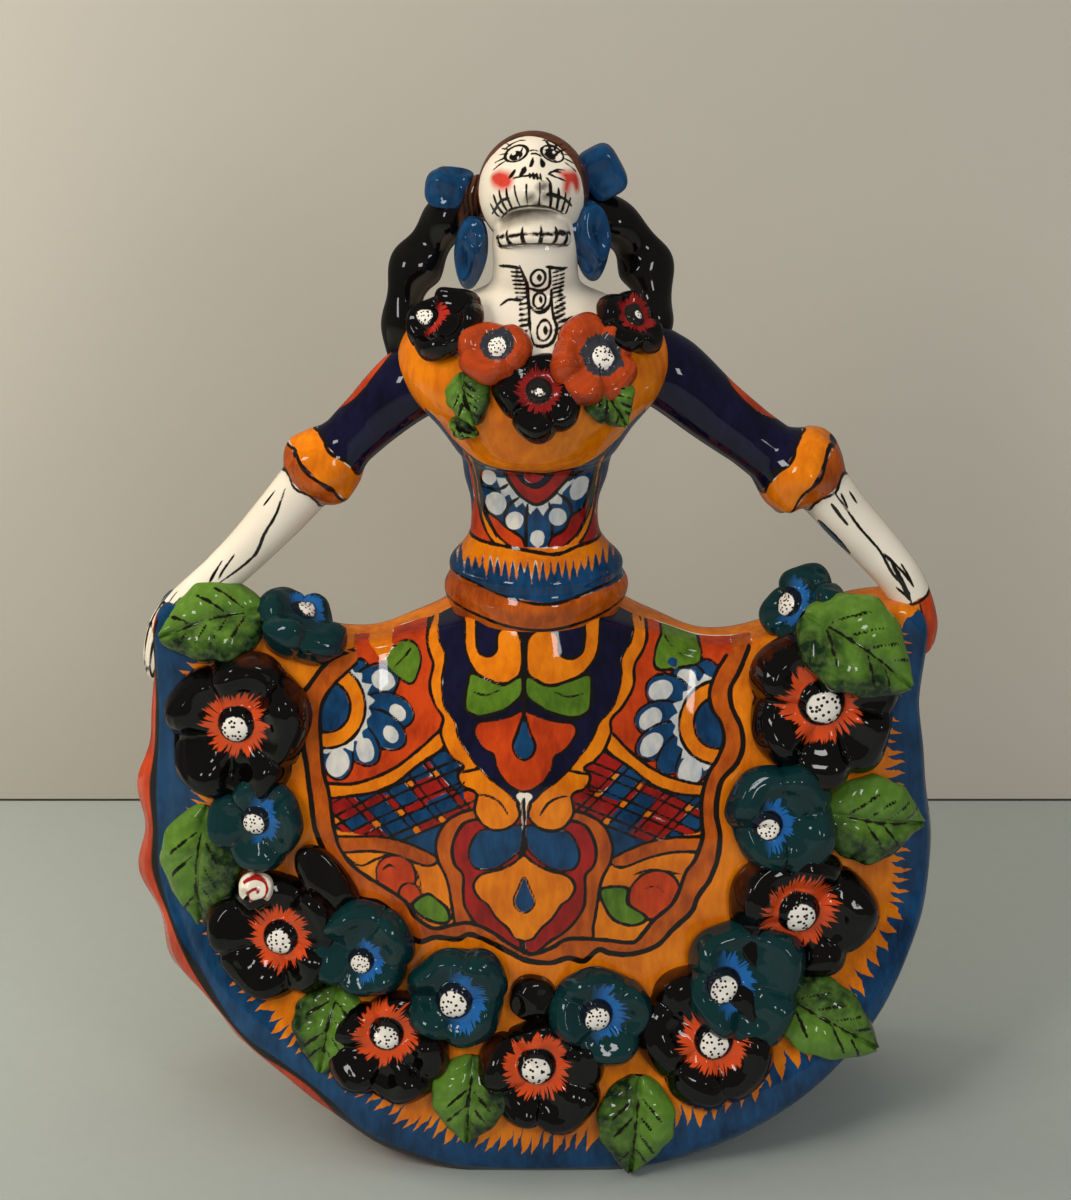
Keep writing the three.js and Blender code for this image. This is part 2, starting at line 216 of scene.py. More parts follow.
def inside(places, path):
    """Whether each place is in a closed run of points, by counting the sides a ray from it crosses."""
    ends = np.roll(path, -1, axis=0)
    span = ends - path
    x, z = places[:, :1], places[:, 1:]
    spans_z = (path[:, 1] > z) != (ends[:, 1] > z)
    slope = span[:, 0] / np.where(span[:, 1] == 0, 1e-9, span[:, 1])
    return (spans_z & (x < path[:, 0] + (z - path[:, 1]) * slope)).sum(axis=1) % 2 == 1


class Painting:
    """Areas and lines of paint on a surface, laid one over the other as a painter does.

    For every vertex it holds, for each coat and for the black line, the distance in millimetres to the
    area's edge, negative inside. A new area takes its place from all the others.
    """

    def __init__(self, places, ground=None):
        self.places = places
        self.coats = {coat: np.full(len(places), FAR) for coat in COATS}
        self.ink = np.full(len(places), FAR)
        if ground:
            self.coats[ground][:] = -FAR

    def near(self, path, reach):
        """The places within reach of a box around the run of points."""
        low, high = path.min(axis=0) - reach, path.max(axis=0) + reach
        return np.flatnonzero(((self.places > low) & (self.places < high)).all(axis=1))

    def fill(self, coat, points, rounded=True, outside=False):
        """An area inside a closed outline, or outside it. With no coat the white glaze is left bare."""
        path = curve(points, closed=True) if rounded else np.asarray(points, float)
        near = np.arange(len(self.places)) if outside else self.near(path, 3)
        places = self.places[near]
        gap = np.minimum(edge_distance(places, path, closed=True)[0], FAR)
        depth = np.where(inside(places, path) != outside, -gap, gap)
        for other in self.coats.values():
            other[near] = np.maximum(other[near], -depth - (OVERLAP if coat else 0))
        self.ink[near] = np.maximum(self.ink[near], -depth)
        if coat:
            self.coats[coat][near] = np.minimum(self.coats[coat][near], depth)

    def line(self, points, width=1.1, closed=False, taper=0.5, rounded=True):
        """A black brush line that thins toward its two ends."""
        path = curve(points, closed) if rounded else np.asarray(points, float)
        near = self.near(path, width + 2)
        gap, along = edge_distance(self.places[near], path, closed)
        thin = 0 if closed else taper * np.abs(2 * along - 1) ** 3
        self.ink[near] = np.minimum(self.ink[near], gap - width / 2 * (1 - thin))

    def area(self, coat, points, width=1.1):
        """An area with a black line round it."""
        self.fill(coat, points)
        self.line(points, width, closed=True)

    def fields(self):
        """The distances, by the names that the material reads."""
        return {**{f"coat_{coat}": values for coat, values in self.coats.items()}, "ink": self.ink}


def joined_fields(*parts):
    """The fields of several stretches of points, one after the other."""
    return {name: np.concatenate([part[name] for part in parts]) for name in parts[0]}


# Materials

def linear(colour):
    """An sRGB hex colour as linear red, green, blue and alpha."""
    values = np.array([int(colour[k:k + 2], 16) for k in (1, 3, 5)]) / 255
    values = np.where(values <= 0.04045, values / 12.92, ((values + 0.055) / 1.055) ** 2.4)
    return (*values.tolist(), 1.0)


def add(tree, kind, inputs, output=0, **settings):
    """Adds one node. inputs gives each socket a value or another node's output, and settings its choices."""
    made = tree.nodes.new("ShaderNode" + kind)
    for name, value in settings.items():
        setattr(made, name, value)
    for key, value in inputs.items():
        if isinstance(value, bpy.types.NodeSocket):
            tree.links.new(value, made.inputs[key])
        else:
            made.inputs[key].default_value = value
    return made.outputs[output]


GLAZE_UNEVENNESS = 0.3  # millimetres by which the glaze rises and falls
EVEN_GLAZE, THICK_GLAZE = 0.16, 0.3  # how strongly that shows


def glaze_surface(tree, colour, height, strength):
    """Tin glaze: opaque colour under a clear glassy coat, IOR 1.5, that lies a little uneven over the clay.

    The coat alone mirrors, so the colour under it has no gloss of its own.
    """
    bumped = add(tree, "Bump", {"Height": height, "Strength": strength, "Distance": GLAZE_UNEVENNESS * MM})
    shader = add(tree, "BsdfPrincipled", {
        "Base Color": colour, "Roughness": 0.4, "Specular IOR Level": 0.0, "Coat Weight": 0.85,
        "Coat IOR": 1.5, "Coat Roughness": 0.05, "Normal": bumped, "Coat Normal": bumped,
    })
    out = tree.nodes.new("ShaderNodeOutputMaterial")
    tree.links.new(shader, out.inputs["Surface"])


def new_material(name):
    """A material with no surface yet, its nodes, and the place on the piece that its noises follow."""
    material = bpy.data.materials.new(name)
    material.use_nodes = True
    tree = material.node_tree
    tree.nodes.clear()
    return material, tree, add(tree, "TexCoord", {}, output=3)


def laid_over(tree, colour, covered, tone, coat):
    """A coat over the colour so far, in its thin colour where tone is 0 and its pooled one where it is 1."""
    thin, pooled = coat
    body = add(tree, "Mix", {0: tone, 6: linear(thin), 7: linear(pooled)}, output=2, data_type="RGBA")
    return add(tree, "Mix", {0: covered, 6: colour, 7: body}, output=2, data_type="RGBA")


def drawn_line(tree, colour, streak, dry, black):
    """The black brush line over the colour so far. dry is how far the streaks break up its edge, each way."""
    ink = add(tree, "Attribute", {}, output=2, attribute_name="ink")
    ragged = add(
        tree, "MapRange", {"Value": streak, "From Min": 0.3, "From Max": 0.7, "To Min": -dry, "To Max": dry}
    )
    ink_edge = add(tree, "Math", {0: ink, 1: ragged}, operation="ADD")
    inked = add(tree, "MapRange", {"Value": ink_edge, "From Min": 0.1, "From Max": -0.15})
    return add(tree, "Mix", {0: inked, 6: colour, 7: linear(black)}, output=2, data_type="RGBA")


def brushed_colour(tree, where):
    """The painted colour: white tin glaze, then each coat where its distance says, then the black line.

    A noise of a few millimetres moves each edge by some tenths, as a hand-held brush does, and a stretched
    noise turns each coat from its thin to its pooled tone in streaks.
    """
    unsteady = add(tree, "TexNoise", {"Vector": where, "Scale": 1 / (5 * MM), "Detail": 3.0})
    wobble = add(tree, "MapRange", {"Value": unsteady, "To Min": -0.75, "To Max": 0.75})
    slanted = add(tree, "Mapping", {"Vector": where, "Rotation": (0.0, 0.7, 0.0), "Scale": (1.0, 1.0, 0.3)})
    streak = add(
        tree, "TexNoise", {"Vector": slanted, "Scale": 1 / (2.6 * MM), "Detail": 5.0, "Roughness": 0.62}
    )
    cloud = add(tree, "TexNoise", {"Vector": where, "Scale": 1 / (14 * MM), "Detail": 2.0})
    mottle = add(tree, "Math", {0: streak, 1: cloud}, operation="ADD")
    tone = add(tree, "MapRange", {"Value": mottle, "From Min": 0.78, "From Max": 1.28})
    colour = add(
        tree, "Mix", {0: cloud, 6: linear("#E9E2D2"), 7: linear("#DAD0BC")}, output=2, data_type="RGBA"
    )
    for coat, colours in COATS.items():
        depth = add(tree, "Attribute", {}, output=2, attribute_name=f"coat_{coat}")
        edge = add(tree, "Math", {0: depth, 1: wobble}, operation="ADD")
        fade = WATERY.get(coat, 0)
        covered = add(tree, "MapRange", {"Value": edge, "From Min": 0.1 + fade, "From Max": -0.2 - fade})
        colour = laid_over(tree, colour, covered, tone, colours)
    return drawn_line(tree, colour, streak, 0.2, MANGANESE), tone


def painted_material(name):
    """Tin-glazed earthenware, brushed with metal-oxide colours and black manganese lines under a clear glaze.

    The eye sees strong streaky colour, slim gaps of white glaze between the areas, and a wet gloss.
    """
    material, tree, where = new_material(name)
    colour, _ = brushed_colour(tree, where)
    uneven = add(tree, "TexNoise", {"Vector": where, "Scale": 1 / (7 * MM), "Detail": 2.0})
    glaze_surface(tree, colour, uneven, EVEN_GLAZE)
    return material


FLAME_HALF = 1.9  # half the width of a flame at the hem
FLAME_LEAN = 0.35
HEM_TURN = 300  # where along the hem its left side begins to rise
HEM_TURNED = 100  # how much further on it has turned up, and the flames have their other shape
RIM_RED_TO = 20  # how far to her left of the middle the red of the rim reaches
RIM_FORWARD_IN, RIM_FORWARD_OUT = 50, 60  # lengths over which its forward stretch sets in and ends
RIM_RED_FROM = 1.5  # how far round the edge, behind the hem's front line, the scarlet begins
RIM_RED_FORWARD = 1.7  # how much sooner it begins, at most, along the lower left of the hem
RIM_WAVE = 8  # the red comes and goes there in waves about six times as long
RIM_FORWARD_START, RIM_FORWARD_END = 90, 225  # where along the hem that stretch lies


def skirt_material():
    """The skirt's glaze: painted areas, and by the hem a blue band with serrated orange flames over it.

    hem_gap is the distance in from the hem, negative round the edge, and hem_along the distance along it. The
    flames end where hem_gap passes a zigzag of hem_along. Beyond rim_from, where rim_red is 1, the edge is
    scarlet.
    """
    material, tree, where = new_material("tin_glazed_earthenware_skirt")
    colour, tone = brushed_colour(tree, where)
    gap = add(tree, "Attribute", {}, output=2, attribute_name="hem_gap")
    along = add(tree, "Attribute", {}, output=2, attribute_name="hem_along")
    rim_red = add(tree, "Attribute", {}, output=2, attribute_name="rim_red")
    uneven = add(tree, "TexNoise", {"Vector": where, "Scale": 1 / (9 * MM), "Detail": 3.0})
    # the flames lean back along the hem, and are broader up her left side
    shift = add(tree, "Math", {0: uneven, 1: 5.0, 2: along}, operation="MULTIPLY_ADD")
    shift = add(tree, "Math", {0: gap, 1: -FLAME_LEAN, 2: shift}, operation="MULTIPLY_ADD")
    rising = {"Value": along, "From Min": HEM_TURN, "From Max": HEM_TURN + HEM_TURNED}
    up_left_side = add(tree, "MapRange", {**rising, "To Min": 0.0, "To Max": -30.0})
    shift = add(tree, "Math", {0: shift, 1: up_left_side}, operation="ADD")
    tooth = add(tree, "Math", {0: shift, 1: FLAME_HALF}, operation="PINGPONG")
    number = add(tree, "Math", {0: shift, 1: 1 / (2 * FLAME_HALF), 2: 0.5}, operation="MULTIPLY_ADD")
    number = add(tree, "Math", {0: number}, operation="FLOOR")
    chance = add(tree, "TexWhiteNoise", {"W": number}, noise_dimensions="1D")
    narrowed = add(tree, "MapRange", {**rising, "To Min": 5.2, "To Max": 1.6})
    base = add(tree, "Math", {0: chance, 1: 3.2, 2: narrowed}, operation="MULTIPLY_ADD")
    length = add(
        tree, "MapRange", {"Value": uneven, "From Min": 0.35, "From Max": 0.65, "To Min": 2.4, "To Max": 4.6}
    )
    flame = add(tree, "Math", {0: tooth, 1: length, 2: base}, operation="MULTIPLY_ADD")
    beyond = add(tree, "Math", {0: gap, 1: flame}, operation="SUBTRACT")
    banded = add(tree, "MapRange", {"Value": beyond, "From Min": 0.2, "From Max": -0.2})
    colour = laid_over(tree, colour, banded, tone, COATS["blue"])
    rim_from = add(tree, "Attribute", {}, output=2, attribute_name="rim_from")
    off_line = add(tree, "Math", {0: gap, 1: rim_from}, operation="SUBTRACT")
    turned = add(tree, "MapRange", {"Value": off_line, "From Min": 0.0, "From Max": -0.4})
    reddened = add(tree, "Math", {0: turned, 1: rim_red}, operation="MULTIPLY")
    colour = laid_over(tree, colour, reddened, tone, RIM_SCARLET)
    near_line = add(tree, "Math", {0: off_line}, operation="ABSOLUTE")
    lined = add(tree, "MapRange", {"Value": near_line, "From Min": 0.7, "From Max": 0.4})
    lined = add(tree, "Math", {0: lined, 1: rim_red}, operation="MULTIPLY")
    colour = add(tree, "Mix", {0: lined, 6: colour, 7: linear(MANGANESE)}, output=2, data_type="RGBA")
    ripple = add(tree, "TexNoise", {"Vector": where, "Scale": 1 / (7 * MM), "Detail": 2.0})
    glaze_surface(tree, colour, ripple, EVEN_GLAZE)
    return material


# The skirt. Its outline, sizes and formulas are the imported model's

FAN_CENTRE_Z = 95
HEM_HALF_DEPTH = 52
EDGE_HALF_DEPTH = 11
WAIST_HALF_DEPTH = 24
SWELL = 17.5
SWELL_POWER = 2.6
EDGE_ROUND = 4
RUFFLE = 5.5
RUFFLE_WAVES = 26
RUFFLE_TOP = 165
RUFFLE_FADE = 60
OUTLINE = [
    (124, 176), (123.5, 145), (127, 112), (128.5, 84), (119, 56), (100, 33), (74, 15), (45, 3.5),
    (15, -1.5), (-15, -1.5), (-45, 6), (-74, 24), (-97, 41), (-114, 60), (-123.5, 86), (-123.5, 118),
    (-122, 145), (-121, 176), (-105, 180), (-62, 168), (-36, 173), (0, 186), (36, 173), (62, 167), (105, 180),
]
TOP_RIGHT, LOW_RIGHT, LOW_LEFT, TOP_LEFT = 0, 5, 12, 17  # where one side ends and the next begins
COLUMNS = 300
ROWS = 216
BAND_ROWS = 12
SHEET_WIDE, SHEET_TALL = 260, 190  # about its size, for the steps of a search on it
SEARCH_STEPS = 60
PANEL_OVER_TOP = 34  # how far to each side the panel runs on over the top edge


def edge_half_depth(x, z):
    """Half the thickness at the outline: thin where the hands lift the hem, deep where it stands."""
    standing = (HEM_HALF_DEPTH - EDGE_HALF_DEPTH) * smooth((FAN_CENTRE_Z - z) / FAN_CENTRE_Z)
    waist = (WAIST_HALF_DEPTH - EDGE_HALF_DEPTH) * smooth(1 - np.abs(x) / 55)
    return EDGE_HALF_DEPTH + standing + np.where(z > 120, waist, 0)


def outline_side(first, last):
    """One side of the skirt as a function of the share of its length: x, z and half the thickness."""
    path = through(OUTLINE, np.linspace(first, last, 241), closed=True)
    outward = unit(path - (0, FAN_CENTRE_Z))
    side = np.column_stack([path - EDGE_ROUND * outward, edge_half_depth(path[:, 0], path[:, 1])])
    length = np.concatenate([[0], np.cumsum(np.linalg.norm(np.diff(side, axis=0), axis=1))])
    return lambda share: np.stack([np.interp(share, length / length[-1], side[:, k]) for k in range(3)], axis=-1)


hem_side = outline_side(LOW_LEFT, LOW_RIGHT)
top_side = outline_side(TOP_LEFT, len(OUTLINE))
left_side = outline_side(LOW_LEFT, TOP_LEFT)
right_side = outline_side(LOW_RIGHT, TOP_RIGHT)


def sheet(u, v):
    """The skirt's front: a sheet stretched between its four sides, plus a swell toward the front.

    The sheet is the sum of the two pairs of opposite sides, each mixed across, less the four corners mixed.
    The swell is 1 minus the distance from the middle, as a share, raised to a power, across and upward.
    """
    u, v = np.broadcast_arrays(np.asarray(u, float), np.asarray(v, float))
    across, up = u[..., None], v[..., None]
    low, high = hem_side(np.array([0, 1])), top_side(np.array([0, 1]))
    low_corners = (1 - across) * low[0] + across * low[1]
    high_corners = (1 - across) * high[0] + across * high[1]
    point = (1 - up) * hem_side(u) + up * top_side(u) + (1 - across) * left_side(v) + across * right_side(v)
    point -= (1 - up) * low_corners + up * high_corners
    swell = SWELL * (1 - np.abs(2 * u - 1) ** SWELL_POWER) * (1 - np.abs(2 * v - 1) ** SWELL_POWER)
    return np.stack([point[..., 0], -point[..., 2] - swell, point[..., 1]], axis=-1)


def skirt_spot(x, z):
    """Where x, z lies on the skirt's front, and the way the surface faces there."""
    u, v = 0.5, 0.5
    for _ in range(SEARCH_STEPS):
        point = sheet(u, v)
        u = np.clip(u + (x - point[0]) / SHEET_WIDE, 0, 1)
        v = np.clip(v + (z - point[2]) / SHEET_TALL, 0, 1)
    step = 0.01
    here = sheet(u, v)
    aside = (sheet(u + step, v) - here) if u < 0.5 else (here - sheet(u - step, v))
    above = (sheet(u, v + step) - here) if v < 0.5 else (here - sheet(u, v - step))
    return here, unit(np.cross(aside, above))


def edge_point(front, across):
    """The edge behind the hem, across from 0 at the front to 1 at the back, rounded over and ruffled between."""
    outward = unit(np.stack([front[..., 0], 0 * front[..., 0], front[..., 2] - FAN_CENTRE_Z], axis=-1))
    nearest = np.minimum(across, 1 - across)
    turned = 1 - np.minimum(nearest * 2 * -front[..., 1] / EDGE_ROUND, 1)
    fullness = 0.2 + 0.8 * smooth(0.6 - outward[..., 0] / 2)
    fullness = fullness * smooth((RUFFLE_TOP - front[..., 2]) / RUFFLE_FADE)
    wave = 1 + 0.3 * np.sin(RUFFLE_WAVES * np.arctan2(outward[..., 2], outward[..., 0]))
    ruffle = RUFFLE * fullness * wave * bump(nearest, 0.22, 0.13)
    out = EDGE_ROUND * np.sqrt(1 - turned**2) + ruffle
    flat = np.stack([1 + 0 * across, 1 - 2 * across, 1 + 0 * across], axis=-1)
    return front * flat + outward * out[..., None]


# The painted panel, in millimetres across and up on the skirt

PANEL_AXIS = -3.6  # below the belt its two halves mirror each other about this line, a little to her right
PANEL_LEAN = 0.12  # the share by which the half at positive x is wider at the top, and the other narrower


def panel(points, side):
    """Points given as distance from the panel's axis and height, on one side of it: -1 left and 1 right."""
    offset, z = np.asarray(points, float).T
    spread = 1 + side * PANEL_LEAN * smooth((z - 135) / 40)
    return np.column_stack([PANEL_AXIS + side * offset * spread, z])


def both_halves(points):
    """A closed outline from its half: up one side of the axis and down the other."""
    return np.concatenate([panel(points, -1), panel(points, 1)[::-1]])


def disc(centre, radius, stretch=1.0, turn=0.0, count=12):
    """Points round an oval. stretch is its length over its width, and turn is in degrees."""
    angle = np.arange(count) * TURN / count
    heading = math.radians(turn)
    long, short = radius * stretch * np.cos(angle), radius * np.sin(angle)
    x = centre[0] + long * math.cos(heading) - short * math.sin(heading)
    return np.column_stack([x, centre[1] + long * math.sin(heading) + short * math.cos(heading)])


def drop(centre, half_width, tip):
    """A teardrop standing on its round end."""
    x, z = centre
    w = half_width
    return [(x, tip), (x - 0.55 * w, z + 1.2 * w), (x - w, z), (x - 0.7 * w, z - 0.9 * w), (x, z - 1.3 * w),
            (x + 0.7 * w, z - 0.9 * w), (x + w, z), (x + 0.55 * w, z + 1.2 * w)]


INNER_RING = [
    (-57, 170), (-57, 162), (-62, 158), (-65, 155), (-68, 150), (-68.5, 143), (-68, 135), (-67.5, 129),
    (-66, 124), (-65, 117), (-64, 110), (-62, 104.5), (-58, 99.5), (-53, 96), (-47.5, 93), (-42.5, 90),
    (-40, 87), (-38, 84), (-32.5, 81), (-26, 83), (-21, 84), (-15, 82), (-9, 78), (-3, 74.5), (1, 74.5),
    (6, 76.6), (10.5, 79), (20.5, 78), (30, 76), (33, 77), (38, 83), (43, 87), (46, 92), (48, 98),
    (51, 102), (53.4, 109), (53, 115), (53, 122), (55, 129), (58, 134), (60, 139.5), (59, 144.5),
    (56, 149), (55.5, 154), (57.6, 159.5), (61, 164.5), (62.6, 170),
]
OUTER_RING = [
    (-58, 172), (-58, 166), (-64, 164), (-68, 161), (-72, 156), (-74, 153), (-73, 147), (-74, 139),
    (-73, 132), (-72, 124), (-71, 115), (-70, 110), (-67, 103), (-64, 98), (-60, 93), (-56, 89), (-50, 88),
    (-46, 85), (-43, 80), (-37.5, 76), (-32, 78), (-25, 78), (-21, 80), (-15, 78), (-8, 74.5), (-3, 72),
    (4.7, 71), (10.5, 72.4), (15.5, 71), (20, 74.5), (24, 73), (31, 72), (39, 74), (44, 79), (50, 84.5),
    (52, 89.5), (55.5, 94.5), (58, 101), (59, 109), (57.6, 117), (58.4, 124), (60, 128), (64, 132),
    (66, 137), (65.5, 143), (62.6, 149), (62, 154.5), (65, 160), (68, 167), (69, 172),
]
# Quarter flowers at the two sides: middle, and each petal's heading in degrees, its reach, and the size of
# its white dot
QUARTER_FLOWERS = [
    (-1, (-66.5, 149.5), [(46, 18, 0), (24, 25, 3), (-2, 28, 2.3), (-20, 27, 2.2), (-46, 23, 2.9), (-78, 22.5, 3.6)]),
    (1, (58, 144.5), [(76, 19, 0), (53, 22, 2.6), (31, 26.5, 3.1), (8, 27, 3.1), (-13, 27, 3.2), (-34, 23, 0),
                      (-58, 22, 3.7)]),
]


def paint_quarter_flower(art, side, middle, petals):
    """A blue disc in an orange ring, white feathering, and blue petals with a white dot."""
    middle = np.array(middle)
    for heading, reach, dot in petals:
        direction = np.array([-side * math.cos(math.radians(heading)), math.sin(math.radians(heading))])
        turn = math.degrees(math.atan2(direction[1], direction[0]))
        art.area("blue", disc(middle + (reach - 8.5) * direction, 5.4, 1.57, turn), 0.9)
        if dot:
            art.fill("milk", disc(middle + (reach - 5.2) * direction, dot, 1.25, turn + 30 * side))
    angle = np.arange(44) * TURN / 44
    spiky = np.where(np.arange(44) % 2, 15.2 + 0.9 * np.sin(5 * angle), 13.4)
    art.fill("milk", middle + np.column_stack([spiky * np.cos(angle), spiky * np.sin(angle)]), rounded=False)
    art.area("orange", disc(middle, 12.4, count=20), 1.0)
    art.area("blue", disc(middle, 7.6, count=16), 1.0)


def paint_lattice(art, side):
    """A plaid of ribbons: crimson both ways over blue, with orange where they cross."""
    ground = [(66, 127), (45, 129), (27, 142), (18, 134), (19, 118), (27, 104), (45, 104), (66, 106)]
    art.fill("blue", panel(ground, side), rounded=False)
    rising, falling = np.array([-1, 0.55]), np.array([1, 0.95])
    corner, rise_step, fall_step = np.array([66, 96]), np.array([0, 7.6]), np.array([-12.6, 0])
    rows, columns, rise_half, fall_half = 7, 7, 0.2, 0.14
    draw = np.random.default_rng(6 + side)

    def crossing(row, column):
        """Where the middle lines of a rising and a falling ribbon meet. Halves lie between two ribbons."""
        start, other = corner + rise_step * row, corner + fall_step * column
        along = np.linalg.solve(np.column_stack([rising, -falling]), other - start)[0]
        return start + rising * along

    def patch(coat, row, column, half_row, half_column):
        """A cell of the plaid about a crossing."""
        corners = [(-1, -1), (-1, 1), (1, 1), (1, -1)]
        spot = [crossing(row + half_row * a, column + half_column * b) for a, b in corners]
        art.fill(coat, panel(spot, side), rounded=False)

    for row in range(rows):
        for column in range(columns):
            if draw.random() < 0.3:
                patch("crimson", row + 0.5, column + 0.5, 0.5, 0.5)
            if draw.random() < 0.7:
                patch("crimson", row, column + 0.5, rise_half, 0.5)
            if draw.random() < 0.55:
                patch("crimson", row + 0.5, column, 0.5, fall_half)
            if draw.random() < 0.7:
                patch("orange", row, column, rise_half, fall_half)
    for row in range(rows):
        for edge in (-rise_half, rise_half):
            ends = [crossing(row + edge, 0), crossing(row + edge, columns)]
            art.line(panel(ends, side), 0.8, taper=0, rounded=False)
    for column in range(columns):
        for edge in (-fall_half, fall_half):
            ends = [crossing(0, column + edge), crossing(rows, column + edge)]
            art.line(panel(ends, side), 0.8, taper=0, rounded=False)


def paint_panel(art):
    """The apron panel, from the ground upward, and then the ring round it."""
    art.fill("scarlet", INNER_RING)
    for side in (-1, 1):
        art.fill("orange", panel([(66, 113), (26, 113), (16, 100), (16, 70), (66, 70)], side), rounded=False)
        paint_lattice(art, side)
        above = [(68, 125), (55, 125), (46, 127.5), (38.5, 131.8), (31, 138.5), (24, 146), (24, 176), (68, 176)]
        art.fill("scarlet", panel(above, side), rounded=False)
    for side, middle, petals in QUARTER_FLOWERS:
        paint_quarter_flower(art, side, middle, petals)
    art.area("green", [(-48, 162.5), (-44, 168.4), (-39, 169.8), (-36.4, 166), (-37, 161.6), (-40, 157.5)], 0.9)
    art.line([(-45, 161.5), (-42, 164.5), (-39.5, 167.5)], 0.7)
    art.fill("orange", [(-56, 173), (-47, 173), (-45.5, 167.5), (-49, 163), (-55, 170)])
    art.area("green", [(37.6, 165), (41, 172.4), (50.5, 170), (52.6, 162.6), (45, 161.2), (39, 161.6)], 0.9)
    art.line([(41, 171), (44, 167), (48, 163.5)], 0.7)
    art.fill("blue", [(41.5, 163), (43, 165), (45.5, 163.5), (44.5, 161)])
    for side in (-1, 1):
        # the orange band over the plaid
        band = [(66, 125.8), (55, 126.2), (46.5, 129), (39.5, 133.2), (33, 139), (26, 146),
                (25.5, 140.5), (34, 133.4), (41, 127.2), (48, 123.8), (56, 122.3), (66, 121.5)]
        art.area("orange", panel(band, side))
        # the bands under it
        under = [(66, 108.3), (52, 109.6), (44, 109.8), (36, 108.5), (27.5, 105), (31, 102), (40, 104.2), (49, 105),
                 (66, 103.5)]
        art.fill("orange", panel([(66, 108), (44, 109), (30, 106), (16, 100), (16, 70), (66, 70)], side))
        art.area("rust", panel(under, side), 1.0)
        # the brown border of the lower petal
        brown = [(0, 124), (12, 123), (18.5, 121.5), (24.5, 117.5), (27.7, 111), (27.6, 105), (25, 99.5),
                 (23.8, 95), (23, 89), (22, 83), (20, 76), (0, 72)]
        art.area("rust", panel(brown, side))
        crimson = [(0, 120), (9, 119.5), (16, 119), (20, 116.3), (22.6, 110), (22.2, 104), (19.4, 100.5),
                   (19.4, 95), (18.8, 89.5), (15, 83.5), (9, 79), (0, 76.5)]
        art.area("crimson", panel(crimson, side))
    for side in (-1, 1):
        blue = [(0.6, 118), (0.8, 112), (2, 109.4), (6, 105.6), (10, 103.2), (15.2, 103), (17.4, 106), (17, 110.5),
                (14, 115.5), (9, 117), (4, 118)]
        art.area("blue", panel(blue, side), 0.9)
    petal = [(0, 108.6), (4, 105.2), (8.1, 103), (13.6, 101), (16.2, 97), (14.4, 93), (11.8, 91), (8.9, 86.4),
             (5.4, 83), (3, 79.6), (0, 78.6)]
    art.area("orange", both_halves(petal), 1.0)
    art.area("blue", drop((PANEL_AXIS, 93), 3.4, 101), 0.7)
    # the border of the upper panel, drawn out below it into scrolls with a round end
    ogee = [(0, 186), (31.5, 186), (33, 180), (34.8, 173), (34, 168), (31.8, 164), (32.2, 158), (29.5, 152.5),
            (26.4, 149.3), (26.8, 145), (24.8, 140.3), (22, 137.4), (19, 135.8), (20.8, 132.6), (19.2, 129.3),
            (15, 127.6), (15.6, 122), (13, 117.8), (9.3, 116.3), (4.5, 117.6), (1.4, 121.5), (2, 125.5), (0, 128)]
    art.area("orange", both_halves(ogee))
    navy = [(0, 186), (27.5, 186), (30.6, 178), (30.4, 171.5), (27.8, 167), (28.2, 160), (26.6, 153), (22.8, 149),
            (20.8, 144), (16.5, 138.4), (11, 133), (6, 129.5), (2.4, 126), (0, 126.6)]
    art.area("navy", both_halves(navy), 0.8)
    art.fill(None, [(-4, 129.5), (-6, 128), (-4.6, 125), (-4.2, 118), (-3.2, 118), (-2.6, 125), (-1, 128)])
    for side in (-1, 1):
        art.line(panel([(14.8, 127.4), (11, 127.2), (7.5, 125.4), (5, 121.6)], side), 0.9)
        art.line(panel([(20.5, 133.4), (17, 134.6), (13.5, 135.8)], side), 0.9)
        art.line(panel([(18.6, 131), (20.8, 128.4), (24.5, 127.4)], side), 0.8)
        scroll = [(21.6, 188), (21.2, 176), (20.6, 169.5), (16.5, 164.3), (10, 162.2), (4, 163), (1, 166.5),
                  (0.7, 173), (2, 177.3), (6, 178.8), (9.4, 176.4), (9.9, 171.6), (12.5, 169.6), (16.2, 170.6),
                  (17, 176), (17.2, 188)]
        art.area("orange", panel(scroll, side), 1.0)
        leaf = [(19.4, 161.6), (18, 164), (12.3, 162.8), (6.9, 162), (0.8, 165), (0.7, 159.5), (4.8, 155.6),
                (10, 153), (15.5, 151.6), (19.6, 153.6)]
        art.area("green", panel(leaf, side))
        art.line(panel([(17.6, 158.6), (13, 158.2), (8, 160.4)], side), 0.7)
    heart = [(0, 155.2), (5, 152.6), (9.5, 151.2), (14.8, 149.8), (16, 146.8), (13.8, 143.2), (12, 141.5),
             (9.6, 140.4), (8.6, 136.5), (6, 132.5), (2.5, 130), (0, 129.4)]
    art.area("scarlet", both_halves(heart), 0.9)
    art.area("blue", drop((PANEL_AXIS, 144), 3.5, 153.5), 0.9)
    art.line(panel([(0, 181), (0, 170), (0, 152)], -1), 1.6, taper=0.2)
    art.line(panel([(0, 127), (0, 118), (0, 108.6)], -1), 1.2, taper=0.2)
